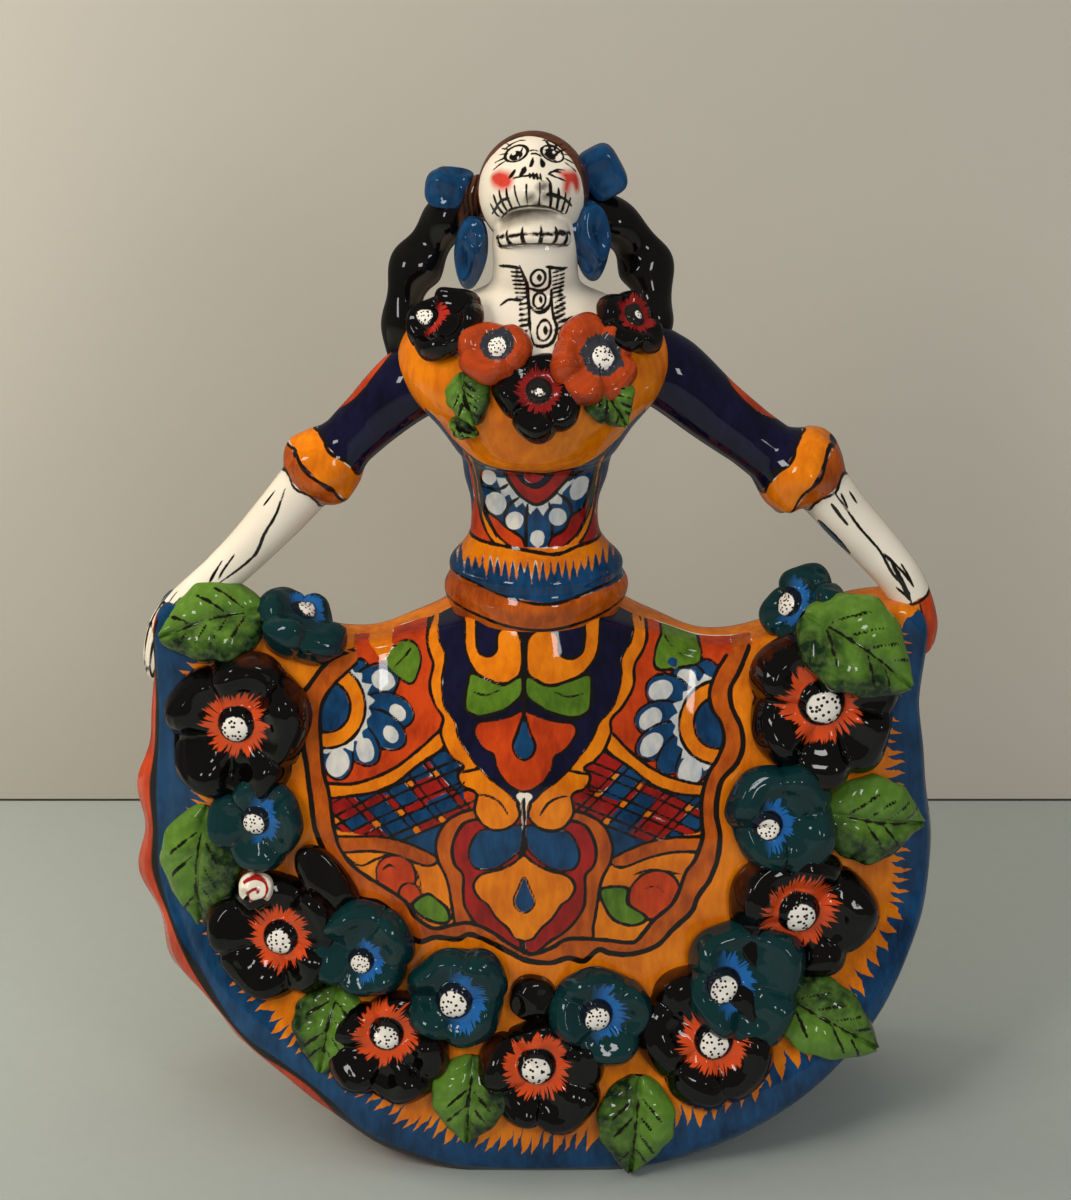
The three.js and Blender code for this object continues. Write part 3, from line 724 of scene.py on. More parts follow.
    # buds and leaves at the bottom of the two side areas
    art.line([(-60.5, 103), (-56, 100), (-51, 102.4), (-46, 104.4), (-41, 103.2), (-37.5, 99), (-36.4, 94)], 0.9)
    art.area("scarlet", disc((-44.5, 98), 6.4), 0.9)
    art.area("scarlet", disc((-40, 92), 3.6), 0.9)
    art.line([(-49, 99), (-46.5, 101), (-43.5, 99.4)], 0.8)
    art.area("green", [(-39.4, 88.4), (-34.5, 92.6), (-31, 90.8), (-28, 88), (-27.6, 84), (-31, 83), (-36, 84.6)])
    art.line([(31, 99), (37, 100), (47, 97.4)], 1.0)
    art.area("scarlet", disc((38, 91.4), 8.3), 1.0)
    art.line([(35, 94), (38.5, 94.4), (41, 92)], 0.8)
    art.area("green", [(20.8, 95.4), (29, 95), (29.6, 89.5), (35.5, 84), (31, 81.8), (25, 84.5), (22, 89.5)])
    # the ring round the panel, and the rest of the skirt
    art.fill("rust", [(-57, 200), *INNER_RING, (62, 200)], outside=True)
    art.fill("orange", [(-58, 200), *OUTER_RING, (69, 200)], outside=True)
    top_left = [(-76, 172.5), (-58, 171.6), (-46, 172.8), (-38, 175), (-33, 180)]
    top_right = [(33, 180), (38, 176.5), (46, 171.8), (52, 169.4), (61, 168.4), (74, 170.5)]
    for edge in (top_left, top_right):
        art.fill("rust", [*edge, (edge[-1][0], 200), (edge[0][0], 200)], rounded=False)
        art.line(edge, 1.0)
    art.line(INNER_RING[1:-1], 1.5, taper=0.2)
    art.line(OUTER_RING[1:-1], 1.9, taper=0.2)


def paint_back(art):
    """The back, plainer: a wide orange field, one big daisy and a ring like the one in front."""
    middle = np.array([0, 122])
    ring = disc(middle, 47, count=24) + np.random.default_rng(4).normal(0, 0.8, (24, 2))
    art.fill("scarlet", ring)
    for k in range(8):
        heading = k * 45 + 12
        direction = np.array([math.cos(math.radians(heading)), math.sin(math.radians(heading))])
        art.area("blue", disc(middle + 22 * direction, 7.2, 1.5, heading), 1.4)
        art.fill(None, disc(middle + 25.5 * direction, 3.6, 1.3, heading))
        aside = np.array([math.cos(math.radians(heading + 22)), math.sin(math.radians(heading + 22))])
        art.area("green", disc(middle + 37.5 * aside, 3.9, 1.7, heading + 22), 1.3)
    art.area("orange", disc(middle, 12, count=16), 1.5)
    art.area("navy", disc(middle, 6.2, count=12), 1.4)
    art.line(ring, 2.2, closed=True)
    art.line(disc(middle, 52, count=24), 1.8, closed=True)


def spaced(count, low, high, share):
    """Numbers from 0 to 1 of which the given share falls between low and high."""
    rest = (1 - share) / (low + 1 - high)
    marks = [0, rest * low, rest * low + share, 1]
    return np.interp(np.linspace(0, 1, count + 1), marks, [0, low, high, 1])


def hem_fields(points):
    """Distance from the hem's front line, and along it, for points of a sheet."""
    shares = np.linspace(0, 1, 120)
    run = [left_side(shares[::-1]), hem_side(shares), right_side(shares)]
    line = np.concatenate([np.column_stack([side[:, 0], side[:, 1]]) for side in run])
    span = np.linalg.norm(np.diff(line, axis=0), axis=1)
    length = np.concatenate([[0], np.cumsum(span)])
    gap, along = [], []
    for block in np.array_split(points, max(len(points) // 4000, 1)):
        distance, part = edge_distance(block[:, [0, 2]], line, closed=False)
        gap.append(distance)
        along.append(np.interp(part * (len(line) - 1), np.arange(len(line)), length))
    return np.concatenate(gap), np.concatenate(along)


def edge_run(index):
    """The numbers of the points round a grid's edge, in order from its first corner."""
    return np.concatenate([index[0, :-1], index[:-1, -1], index[-1, :0:-1], index[:0:-1, 0]])


def make_skirt():
    """The skirt as one closed skin: a fine front, the ruffled edge, and a back at half the fineness."""
    across = spaced(COLUMNS, 0.18, 0.79, 0.85)
    upward = spaced(ROWS, 0.38, 1.0, 0.86)
    front = sheet(across, upward[:, None])
    back = sheet(across[::2], upward[::2, None]) * (1, -1, 1)
    index = np.arange(front[..., 0].size).reshape(front.shape[:2])
    rim = edge_run(index)
    edge_front = front.reshape(-1, 3)[rim]
    shares = np.concatenate([[0.015, 0.04, 0.075], np.linspace(0.12, 0.93, BAND_ROWS - 4), [0.985]])
    band = np.stack([edge_point(edge_front, np.full(len(rim), share)) for share in shares])
    band_index = index.size + np.arange(band[..., 0].size).reshape(band.shape[:2])
    back_start = index.size + band_index.size
    back_index = back_start + np.arange(back[..., 0].size).reshape(back.shape[:2])
    back_rim = edge_run(back_index)
    loop = np.concatenate([rim[None], band_index])
    loop = np.concatenate([loop, loop[:, :1]], axis=1)
    fine = loop[-1]
    coarse = np.concatenate([back_rim, back_rim[:1]])
    joint = np.concatenate([
        np.stack([fine[:-1:2], coarse[:-1], fine[1::2]], axis=1),
        np.stack([fine[1::2], coarse[:-1], coarse[1:]], axis=1),
        np.stack([fine[1::2], coarse[1:], fine[2::2]], axis=1),
    ])
    points = np.concatenate([front.reshape(-1, 3), band.reshape(-1, 3), back.reshape(-1, 3)])
    faces = [cells(index), cells(loop.T), cells(back_index.T), joint]
    # its own map for the painting: the front on the upper part, the edge in a strip, and the back below. The
    # strip has one row of cells more than the edge has faces, so edge, back and joint are out of step on it
    u_grid, v_grid = np.meshgrid(0.004 + 0.992 * across, 0.30 + 0.696 * upward)
    front_uv = np.stack([u_grid, v_grid], axis=-1)
    strip_u = np.linspace(0.004, 0.996, len(rim) + 1)
    strip_v = 0.20 + 0.085 * np.concatenate([[0], shares, [1]])
    strip = np.stack(np.meshgrid(strip_u, strip_v), axis=-1)
    back_uv = np.stack(np.meshgrid(0.004 + 0.992 * across[::2], 0.004 + 0.185 * upward[::2]), axis=-1)
    top, last = strip[-2], strip[-1]
    joint_uv = np.concatenate([
        np.stack([top[:-1:2], last[:-1:2], top[1::2]], axis=1),
        np.stack([top[1::2], last[:-1:2], last[2::2]], axis=1),
        np.stack([top[1::2], last[2::2], top[2::2]], axis=1),
    ])
    uv = [cells(front_uv), cells(strip.transpose(1, 0, 2)), cells(back_uv.transpose(1, 0, 2)), joint_uv]
    front_art = Painting(front.reshape(-1, 3)[:, [0, 2]], "orange")
    paint_panel(front_art)
    # on the rounded top edge the panel runs on toward the belt, as it looks from in front and above
    rise = np.maximum(band[..., 1] - edge_front[:, 1], 0) * math.tan(math.radians(CAMERA_PITCH))
    rise = np.where((band[..., 1] < 0) & (np.abs(band[..., 0]) < PANEL_OVER_TOP), rise, 0)
    band_art = Painting(np.stack([band[..., 0], band[..., 2] + rise], axis=-1).reshape(-1, 2), "orange")
    paint_panel(band_art)
    behind = (band[..., 1] > 0).ravel()
    for values in band_art.coats.values():
        values[behind] = FAR
    band_art.coats["orange"][behind] = -FAR
    band_art.ink[behind] = FAR
    back_art = Painting(back.reshape(-1, 3)[:, [0, 2]], "orange")
    paint_back(back_art)
    fields = joined_fields(front_art.fields(), band_art.fields(), back_art.fields())
    front_gap, front_along = hem_fields(front.reshape(-1, 3))
    back_gap, back_along = hem_fields(back.reshape(-1, 3))
    number = np.arange(len(rim))
    on_top = (number >= COLUMNS + ROWS) & (number < 2 * COLUMNS + ROWS)
    round_edge = -np.minimum(shares, 1 - shares)[:, None] * 2 * -edge_front[:, 1]
    band_gap = np.where(on_top, front_gap[rim], round_edge)
    band_along = np.broadcast_to(front_along[rim], band_gap.shape)
    fields["hem_gap"] = np.concatenate([front_gap, band_gap.ravel(), back_gap])
    fields["hem_along"] = np.concatenate([front_along, band_along.ravel(), back_along])
    fields["rim_red"] = np.where(points[:, 0] < RIM_RED_TO, 1.0, 0.0)
    along = fields["hem_along"]
    forward = smooth((along - RIM_FORWARD_START) / RIM_FORWARD_IN)
    forward = forward * smooth((RIM_FORWARD_END - along) / RIM_FORWARD_OUT)
    forward = np.where(points[:, 1] < 0, forward * (0.55 + 0.45 * np.sin(along / RIM_WAVE)), 0)
    fields["rim_from"] = RIM_RED_FORWARD * forward - RIM_RED_FROM
    points = np.clip(points, CAD_LOW, CAD_HIGH)
    return make_piece("skirt", points, faces, skirt_material(), fields, uv)


skirt = make_skirt()
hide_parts("skeleton_figure")


# The body, from under the belt to the neck: height, half width, half depth and how far back its middle is

BODY = [
    (172, 25, 23, 0), (181, 28.3, 26.5, -0.5), (186, 28.8, 27.5, -1), (190, 27.2, 26, -1),
    (194, 27.2, 26.2, -1), (199, 23, 22, -1), (204, 20.4, 19, -0.5), (213, 20.2, 18.5, 0), (221, 22.4, 20, 0),
    (228, 23.6, 21.5, -1), (232, 25.8, 26.5, -2), (240, 31, 31, -2), (249, 38.6, 33.5, -2),
    (258, 42.6, 32.5, -1.5), (266, 41, 29, -0.5), (272, 35, 24, 0.5), (277, 25, 18.5, 1), (282, 15, 14, 0),
    (288, 13, 13, -2), (296, 13.2, 12, -2.6), (304, 12.4, 10.5, -1.5),
]
BODY_COLUMNS = 230
BODY_ROWS = 300
BACK_SHIFT = 200  # the back's paint is laid this far to the side of the front's
WAIST_DOTS = [
    ((-14.5, 225.5), 2.3, 1.2, 80), ((-12.3, 216.6), 3.3, 1.25, 75), ((-6.5, 211.6), 2.7, 1.2, 60),
    ((0.6, 206.2), 2.2, 1.2, 90), ((6.9, 213), 2.6, 1.2, -60), ((13.6, 221.8), 2.8, 1.5, 75),
]


def zigzag(low, high, start, end, pitch, seed):
    """Points of a serrated edge, its tips at uneven depths."""
    draw = np.random.default_rng(seed)
    count = int((end - start) / pitch)
    x = np.linspace(start, end, 2 * count + 1)
    tips = high - (high - low) * draw.uniform(0.55, 1.0, len(x))
    return [(x[k], tips[k] if k % 2 else high) for k in range(len(x))]


def around(coat, art, low, high):
    """A band of paint right round the body between two heights."""
    art.fill(coat, [(-60, low), (60 + BACK_SHIFT, low), (60 + BACK_SHIFT, high), (-60, high)], rounded=False)


def level_line(art, heights, width):
    """A black line round the body through given heights across the front, and level round the back."""
    art.line([(x, z) for x, z in heights], width, taper=0)
    start, end = heights[0][1], heights[-1][1]
    art.line([(BACK_SHIFT - 45, start), (BACK_SHIFT, (start + end) / 2), (BACK_SHIFT + 45, end)], width, taper=0)


def paint_body(art):
    """Belt, waist, orange bodice, and the white neck with its drawn vertebrae."""
    # bodice and neck
    around("orange", art, 236, 272)
    neckline = [(-34, 276), (-30, 268), (-18, 264), (-6, 259), (6, 259), (18, 262), (30, 268), (34, 276), (34, 320),
                (-34, 320)]
    art.fill(None, neckline, rounded=False)
    around(None, art, 273.5, 320)
    # waist
    around("scarlet", art, 200, 246)
    art.fill("crimson", [(1, 199), (20, 199), (19, 210), (17, 216), (8, 210)])
    for side in (-1, 1):
        outer = [(34, 250), (25, 243), (21.5, 232), (19.8, 222), (19.2, 212), (23, 205), (30, 215), (32, 235)]
        art.fill("blue", [(side * x, z) for x, z in outer])
        stripe = [(22, 241), (19.6, 236), (17.6, 224), (16.2, 214), (12.6, 206.5), (6.5, 202), (10.5, 201.5),
                  (15.6, 206), (18, 213), (19.4, 224), (21.6, 234)]
        art.area("orange", [(side * x + 0.4, z) for x, z in stripe], 0.9)
        art.line([(side * x + 0.4, z) for x, z in [(19.4, 231), (17.9, 221), (16.8, 213), (12.6, 205.4)]], 0.9)
    petals = [(-17.4, 236), (-16.6, 228), (-17, 221), (-15.8, 213.8), (-12, 211.4), (-9.6, 209.4), (-4.6, 206.6),
              (-2.8, 203.6), (0.5, 202.3), (3.4, 203.2), (5.2, 206.6), (9, 208.6), (11, 212.4), (15, 214.8),
              (17.2, 221), (18.6, 230), (18, 236)]
    art.area("blue", petals, 1.1)
    art.fill("milk", [(-12, 226), (-10, 219), (-8, 220.6), (-6, 216), (-4, 218), (-1.6, 214), (0.4, 216.4), (2.4, 213.6),
                      (5, 217.6), (8, 217), (8.4, 221), (12, 225), (10, 229)], rounded=False)
    for line in (
        [(-8.6, 224), (-11.6, 221.8), (-16.4, 221.6)], [(-5.2, 219.6), (-8.8, 216), (-9.8, 209.6)],
        [(-2.4, 217.6), (-3, 211), (-2.8, 204)], [(4.2, 218), (5.2, 212), (5, 206.4)],
        [(7, 221), (10.6, 217), (11.4, 212.4)], [(10.4, 225), (13, 227.4), (16, 228.6)],
    ):
        art.line(line, 1.3)
    for middle, radius, stretch, turn in WAIST_DOTS:
        art.fill("milk", disc(middle, radius, stretch, turn, 10))
    crescent = [(-10.4, 236), (-9.2, 228), (-5.8, 221.6), (-1.2, 217.9), (1.2, 217.6), (4.4, 219.6), (8, 223.6),
                (11.6, 228.6), (12, 236)]
    art.area("crimson", crescent, 1.3)
    art.area("navy", [(-7, 236), (-6.2, 229), (-3.6, 225), (0, 223.4), (3.4, 225), (6, 229), (7, 236)], 0.8)
    art.fill("crimson", disc((-0.6, 228), 3.2))
    art.line([(-3, 224.8), (0, 223.8), (2.6, 224.8)], 0.6)
    bust = [(-40, 252), (-31, 246), (-25, 238), (-18, 232.4), (-9, 230), (-2, 229.2), (3, 228.4), (8, 229.4),
            (17, 232), (25, 238), (31, 246), (40, 252)]
    art.fill("orange", [*bust, (30, 256), (-30, 256)])
    art.line(bust[2:-2], 1.2)
    behind = [(BACK_SHIFT + x, z) for x, z in
              [(-42, 252), (-30, 243), (-18, 238), (0, 236.5), (18, 238), (30, 243), (42, 252)]]
    art.fill("orange", [*behind, (BACK_SHIFT + 42, 262), (BACK_SHIFT - 42, 262)])
    art.line(behind, 1.2)
    # belt: a blue roll under orange flames, and a brown one
    around("blue", art, 187.5, 203)
    flames = zigzag(194, 199.8, -40, 40, 2.3, 3)
    art.fill("orange", [*flames, (40, 203.5), (-40, 203.5)], rounded=False)
    flames_behind = [(x + BACK_SHIFT, z) for x, z in zigzag(194, 199.8, -40, 40, 2.9, 5)]
    art.fill("orange", [*flames_behind, (40 + BACK_SHIFT, 203.5), (BACK_SHIFT - 40, 203.5)], rounded=False)
    around("rust", art, 160, 189)
    art.fill("blue", [(-30, 192), (-8, 189.6), (4, 187.6), (16, 188.8), (24, 190.4), (30, 189), (30, 194), (-30, 194)])
    art.fill("rust", [(-30, 186), (-30, 193), (-24, 192.8), (-18, 191.6), (-10, 189.4), (-8, 186)])
    level_line(art, [(-30, 193), (-20, 192.2), (-10, 189.6), (0, 188), (8, 188), (18, 189.8), (26, 190.4)], 0.9)
    level_line(art, [(-24, 203), (-10, 203.2), (0, 202.2), (7, 201.4), (14, 202.8), (22, 202.4)], 1.1)
    level_line(art, [(-29, 183.4), (-18, 181.6), (-8, 179.4), (4, 178.4), (16, 180), (28, 182.4)], 1.2)
    # the drawn backbone
    art.line([(-11, 290.4), (-8, 291), (-4.6, 290.8)], 1.2)
    art.line([(-4.8, 291.6), (-3.6, 288.6), (-2.6, 286), (-2.4, 283.6), (-2, 279), (-1.8, 275.6), (-1.4, 272)], 1.2)
    art.line([(4.2, 291.4), (4.4, 287), (3.6, 284.6), (1, 283.8), (-2.2, 284.8)], 1.1)
    art.line([(3.2, 291.4), (6, 290.8), (9.6, 290.2)], 1.1)
    art.line([(-2, 279.6), (0.4, 277.8), (3.2, 278.4), (4.6, 280.4), (4.8, 284)], 1.1)
    art.line([(5, 283), (5, 279), (5.6, 276.2), (6.4, 273.6), (5, 270.6), (1.6, 269.6), (-1, 270.8), (-1.6, 275)], 1.1)
    for middle, size in (((0.8, 288), 1.9), ((1.2, 281), 1.6), ((2.6, 273.4), 1.8)):
        art.line(disc(middle, 1.15 * size, 1.2, 70, 8), 0.8, closed=True)
        art.line([(middle[0] + 0.3, middle[1] + 0.9), (middle[0] + 0.5, middle[1] - 0.7)], 0.8 * size)
    for k in range(7):
        z = 289.4 - 1.3 * k
        art.line([(-7.4 + 0.25 * k, z), (-4.0 + 0.3 * k, z + 0.2)], 0.85, taper=0.2)
        art.line([(5.4, z), (8.8 - 0.1 * k, z + 0.5)], 0.85, taper=0.2)
    for k in range(6):
        z = 279.8 - 1.35 * k
        art.line([(-4.8, z), (-2.4, z + 0.3)], 0.8, taper=0.2)
        art.line([(6, z + 0.4), (9, z + 1.5)], 0.85, taper=0.2)
    art.line([(-10.6, 279.2), (-8, 280.8), (-5.4, 280.8), (-3.2, 281.4)], 0.9)
    art.line([(7, 275.2), (9, 275.6), (11.6, 276.4)], 0.9)
    art.line([(10, 275), (8.4, 272.6), (10, 273), (8.4, 270.4)], 1.1)


def make_body():
    """Belt, waist, bodice and neck: oval sections, closer together in front, where the painting is finest."""
    rows = curve(BODY, steps=12)
    height = np.linspace(BODY[0][0], BODY[-1][0], BODY_ROWS)[:, None]
    wide, deep, back = (np.interp(height, rows[:, 0], rows[:, k]) for k in (1, 2, 3))
    even = np.arange(BODY_COLUMNS) * TURN / BODY_COLUMNS
    angle = (even - 0.5 * np.cos(even))[None, :]
    wobble = 0.3 * np.sin(3 * angle + height / 7) * smooth((270 - height) / 20)
    wobble = wobble + 0.5 * bump(height, 186, 6) * np.sin(4 * angle + 1)
    x, y = (wide + wobble) * np.cos(angle), back + (deep + wobble) * np.sin(angle)
    rings = np.stack([x, y, height + 0 * angle], axis=-1)
    points, faces = closed_skin(rings)
    behind = points[:, 1] > 0
    art = Painting(np.column_stack([points[:, 0] + np.where(behind, BACK_SHIFT, 0), points[:, 2]]))
    paint_body(art)
    make_piece("body", points, faces, glazed, art.fields())


glazed = painted_material("tin_glazed_earthenware")
make_body()


# The skull, tilted back. Up and aside are angles in degrees on a ball, measured from the middle of the face

SKULL_MIDDLE = np.array([-0.4, 3, 311])
SKULL_RADIUS = 18.2
SKULL_NARROWED = 0.955  # its width, as a share of a ball's
SKULL_TILT = math.radians(35)
SKULL_ROWS = 170
SKULL_COLUMNS = 240
DEGREE = SKULL_RADIUS * math.pi / 180  # millimetres to a degree on the ball


def face(points):
    """Places on the face in millimetres from angles aside and up: aside shrinks by the cosine of up."""
    aside, up = np.asarray(points, float).T
    return np.column_stack([aside * np.cos(np.radians(up)), up]) * DEGREE


def skull_radius(aside, up):
    """The ball, with brow, cheeks, eye hollows, nose, upper jaw with teeth, mouth and lower jaw worked in it."""
    radius = SKULL_RADIUS - 0.9 * bump(aside, 180, 120) + 4.2 * bump(up, -24, 14) * bump(aside, 0, 38)
    radius = radius - 5.4 * bump(up, -47, 5) * bump(aside, 0, 60)
    radius = radius + 6.4 * bump(up, -62, 12) * bump(aside, 0, 125)
    radius = radius + 0.8 * bump(up, -57, 4) * bump(aside, 0, 70)
    for side in (-1, 1):
        radius = radius - 0.9 * bump(up, 16, 9) * bump(aside, 20 * side, 10)
        radius = radius + 0.6 * bump(up, -4, 8) * bump(aside, 36 * side, 12)
    radius = radius + 0.7 * bump(up, 4, 8) * bump(aside, 2, 9)
    teeth = np.abs(np.sin(np.radians(aside) * 9))
    upper = bump(up, -29, 7) * bump(aside, 0, 38)
    lower = bump(up, -58, 3.5) * bump(aside, 0, 45)
    return radius - 0.35 * (1 - teeth**0.5) * (upper + 0.7 * lower)


def paint_face(art):
    """The drawn skull: hair, eyes, nose, teeth, the red on the cheeks, and painted shade on the upper teeth and in the
    mouth.
    """
    hairline = [(-110, -60), (-88, -30), (-74, 0), (-65, 13), (-54, 21), (-43, 29), (-33, 35),
                (-22, 39), (-8, 40), (6, 38), (18, 33), (30, 26), (40, 17), (49, 6), (57, -5), (72, -24),
                (110, -60)]
    beyond = [(200, up) for up in range(-84, 91, 6)]  # past the seam at the back of the head
    around_head = [(-aside, up) for aside, up in beyond[::-1]] + hairline + beyond
    art.fill("hair", face(curve(around_head, steps=3)), rounded=False)
    for cheek in (
        [(-47, -2), (-36, 0), (-26, -5), (-20, -13), (-25, -20), (-36, -18), (-46, -11)],
        [(24, -4), (36, 0), (46, 3), (52, -4), (53, -14), (47, -17), (41, -13), (38, -17), (35, -22), (29, -21),
         (29, -11)],
    ):
        art.fill("blush", face(cheek))
    for side, (middle, pupil) in ((-1, ((-19.5, 17), (-20, 15))), (1, ((20, 17), (19, 16)))):
        art.line(face(disc(middle, 9.8, 1.28, -8 * side, 14)), 1.0, closed=True)
        art.fill("black", face(disc(pupil, 6.6, 1.2, 0, 10)))
        for k in range(5):
            start = (middle[0] + side * (8 + 0.9 * k), middle[1] + 10.5 - 4.6 * k)
            end = (start[0] + side * (11 + k), start[1] + 8 - 3.6 * k)
            art.line(face([start, end]), 0.62)
        art.line(face([(side * 10, 33), (side * 18, 33.5), (side * 27, 30), (side * 35, 24)]), 0.75)
    for ray in ([(13, 35), (17, 26), (18, 18)], [(28, 32), (24, 24), (20, 17)], [(36, 25), (29, 21), (22, 16)],
                [(12, 20), (18, 22), (27, 21)], [(11, 15), (16, 11), (24, 9)]):
        art.line(face(ray), 0.95)
    for x, z in ((-23, 18.5), (-17, 12), (22, 20), (25.6, 13.6)):
        art.fill(None, face(disc((x, z), 1.5, 1.3, 60, 8)))
    art.line(face([(-13, 22), (-15.5, 16), (-15, 10)]), 0.8)
    art.line(face([(-4.5, 17.4), (-1, 18.4), (4, 17.2)]), 0.7)
    art.line(face([(-3, 13.4), (2, 13.6), (7, 10.4)]), 1.1)
    for x, lean in ((-3, 2), (8.6, -2)):
        art.fill("black", face([(x + lean, 9), (x - 2.4 + lean / 2, 4), (x - 2.4, -1), (x + 1.6, -1.6), (x + 3, 3.4)]))
    art.line(face([(-9, -1.6), (-10.4, -5), (-13, -9)]), 1.9)
    art.line(face([(-19, -3), (-21.5, -7), (-24, -10)]), 1.4)
    art.line(face([(-20, -11.4), (-12, -10.6), (-4, -10.2), (0, -9.6), (4.6, -12.6), (9, -16)]), 0.8)
    for x in (-4.5, -1, 2.4, 5.6):
        art.line(face([(x, -7.6), (x + 0.8, -14 - x * 0.2)]), 0.85)
    art.line(face([(11, -12), (14, -15), (16, -20)]), 0.9)
    art.line(face([(13.6, -8), (18, -4.6), (27, -4)]), 0.8)
    art.line(face([(14, -7.8), (22, -10), (32, -11.4)]), 0.8)
    art.line(face([(15, -6), (24, -1.6), (32, -1)]), 0.7)
    # upper teeth, with painted shade on them and a band of painted shade in the hollow of the open mouth
    for x, z, size in ((8, -20, 4), (12, -27, 3.4), (-4, -29, 3.4), (3, -35, 3)):
        art.fill("painted_shade", face(disc((x, z), size, 1.5, 20, 8)))
    art.fill("painted_shade", face([(-62, -45), (-40, -42), (-20, -40.5), (0, -40), (20, -41), (40, -44), (34, -48), (10, -50),
                            (-20, -51.5), (-54, -51)]))
    art.line(face([(-58, -44), (-46, -42), (-32, -38.6), (-16, -37), (0, -36.4), (18, -37.6), (34, -40), (44, -42)]), 0.9)
    for x, top, low, lean, width in (
        (-56, -27, -41, 1.5, 1.1), (-46, -21, -40, 1.5, 1.1), (-36.5, -19, -39, 1, 1.1), (-27, -19, -38, 0, 1.0),
        (-18, -18, -36.6, 2, 0.6), (-7, -18, -36, 0, 0.5), (5, -17, -36, 0, 0.5), (14, -17, -37.5, 5, 1.0),
        (23, -20, -39, 6, 1.1), (32, -22, -40, 6, 1.1), (41, -25, -40, 5, 1.0),
    ):
        art.line(face([(x, top), (x + 0.4 * lean, (top + low) / 2), (x + lean, low)]), width, taper=0.3)
    art.line(face([(-62, -35), (-51, -33), (-44, -30.4), (-36, -28.2), (-26, -27.8)]), 1.1, taper=0.3)
    art.line(face([(12, -26), (20, -26), (32, -27.4), (48, -31)]), 1.1, taper=0.3)
    # lower teeth
    art.line(face([(-108, -50), (-80, -53), (-50, -55.4), (-20, -56.2), (20, -56), (60, -53), (100, -50)]), 0.6)
    art.line(face([(-108, -57), (-80, -60), (-50, -62.4), (0, -64), (50, -62), (100, -57)]), 1.0)
    for x in (-92, -68, -43, -17, 10, 34, 58, 84):
        art.line(face([(x, -54), (0.94 * x, -62), (0.88 * x, -74)]), 1.1, taper=0.3)
    art.line(face([(-108, -50), (-107, -57)]), 1.2)


def make_skull():
    """The head as one closed skin from chin to crown."""
    up = np.linspace(-88.5, 88.5, SKULL_ROWS)[:, None]
    even = (np.arange(SKULL_COLUMNS) / SKULL_COLUMNS - 0.5)[None, :] * TURN
    aside = np.degrees(even - 0.45 * np.sin(even))  # closer together across the face
    up, aside = np.broadcast_arrays(up, aside)
    radius = skull_radius(aside, up)
    a, b = np.radians(aside), np.radians(up)
    local = np.stack([np.cos(b) * np.sin(a), -np.cos(b) * np.cos(a), np.sin(b)], axis=-1) * radius[..., None]
    local[..., 0] *= SKULL_NARROWED
    cosine, sine = math.cos(SKULL_TILT), math.sin(SKULL_TILT)
    turned = np.stack(
        [local[..., 0], local[..., 1] * cosine + local[..., 2] * sine, local[..., 2] * cosine - local[..., 1] * sine],
        axis=-1,
    )
    points, faces = closed_skin(turned + SKULL_MIDDLE)
    places = face(np.column_stack([aside.ravel(), up.ravel()]))
    places = np.concatenate([places, face([(0, -90), (0, 90)])])
    art = Painting(places)
    paint_face(art)
    make_piece("skull", points, faces, face_glaze, art.fields())


face_glaze = painted_material("tin_glazed_earthenware_face")
make_skull()


# Arms and braids: round sections about a path of x, y, z and radius

RIGHT_ARM = [
    (-26, 2, 258), (-40, 0, 250), (-52, 0, 239), (-60, 0, 231), (-71.5, 0, 219), (-81, 0, 208), (-92, 0, 196),
    (-104, -1, 184.5), (-111, -2, 177.5), (-116.5, -3, 170), (-119.5, -4, 161), (-120.5, -4, 152),
]
# distance along the arm and radius there
RIGHT_GIRTH = [
    (0, 11), (16, 11.5), (32, 9.6), (42, 9), (45, 9.6), (48, 11.3), (52, 12.6), (55, 12.9), (58, 12.2),
    (60.5, 10.8), (61.5, 9.4), (62.5, 8.8), (75, 8.2), (91, 7.2), (104, 6.6), (112, 6.9), (118, 7.2),
    (127, 7.2), (137, 6.2), (143, 4.6), (145.8, 2),
]
# the cuff's upper edge, middle line and lower edge, along the arm
RIGHT_CUFF = (45.5, 55, 62)
LEFT_ARM = [
    (28, 2, 262), (42, 0, 254), (55, 0, 243), (68, 0, 233), (78, 0, 225.5), (88.5, 0, 219), (98, 0, 208),
    (108, 0, 197), (116, -1, 187.5), (120.6, -1, 179), (122.8, 0, 170), (123.2, 2, 160),
]
LEFT_GIRTH = [
    (0, 11.5), (16, 12), (33, 10.6), (49, 9.6), (57, 9.8), (60, 11.4), (64, 14), (68.5, 15), (72, 14.2),
    (75, 11.8), (77, 9.8), (78.5, 8.9), (89, 8.2), (104, 7.6), (116, 7), (126, 6.5), (136, 6.1), (142, 5.2),
    (145.9, 2.4),
]
LEFT_CUFF = (60.5, 71, 78)
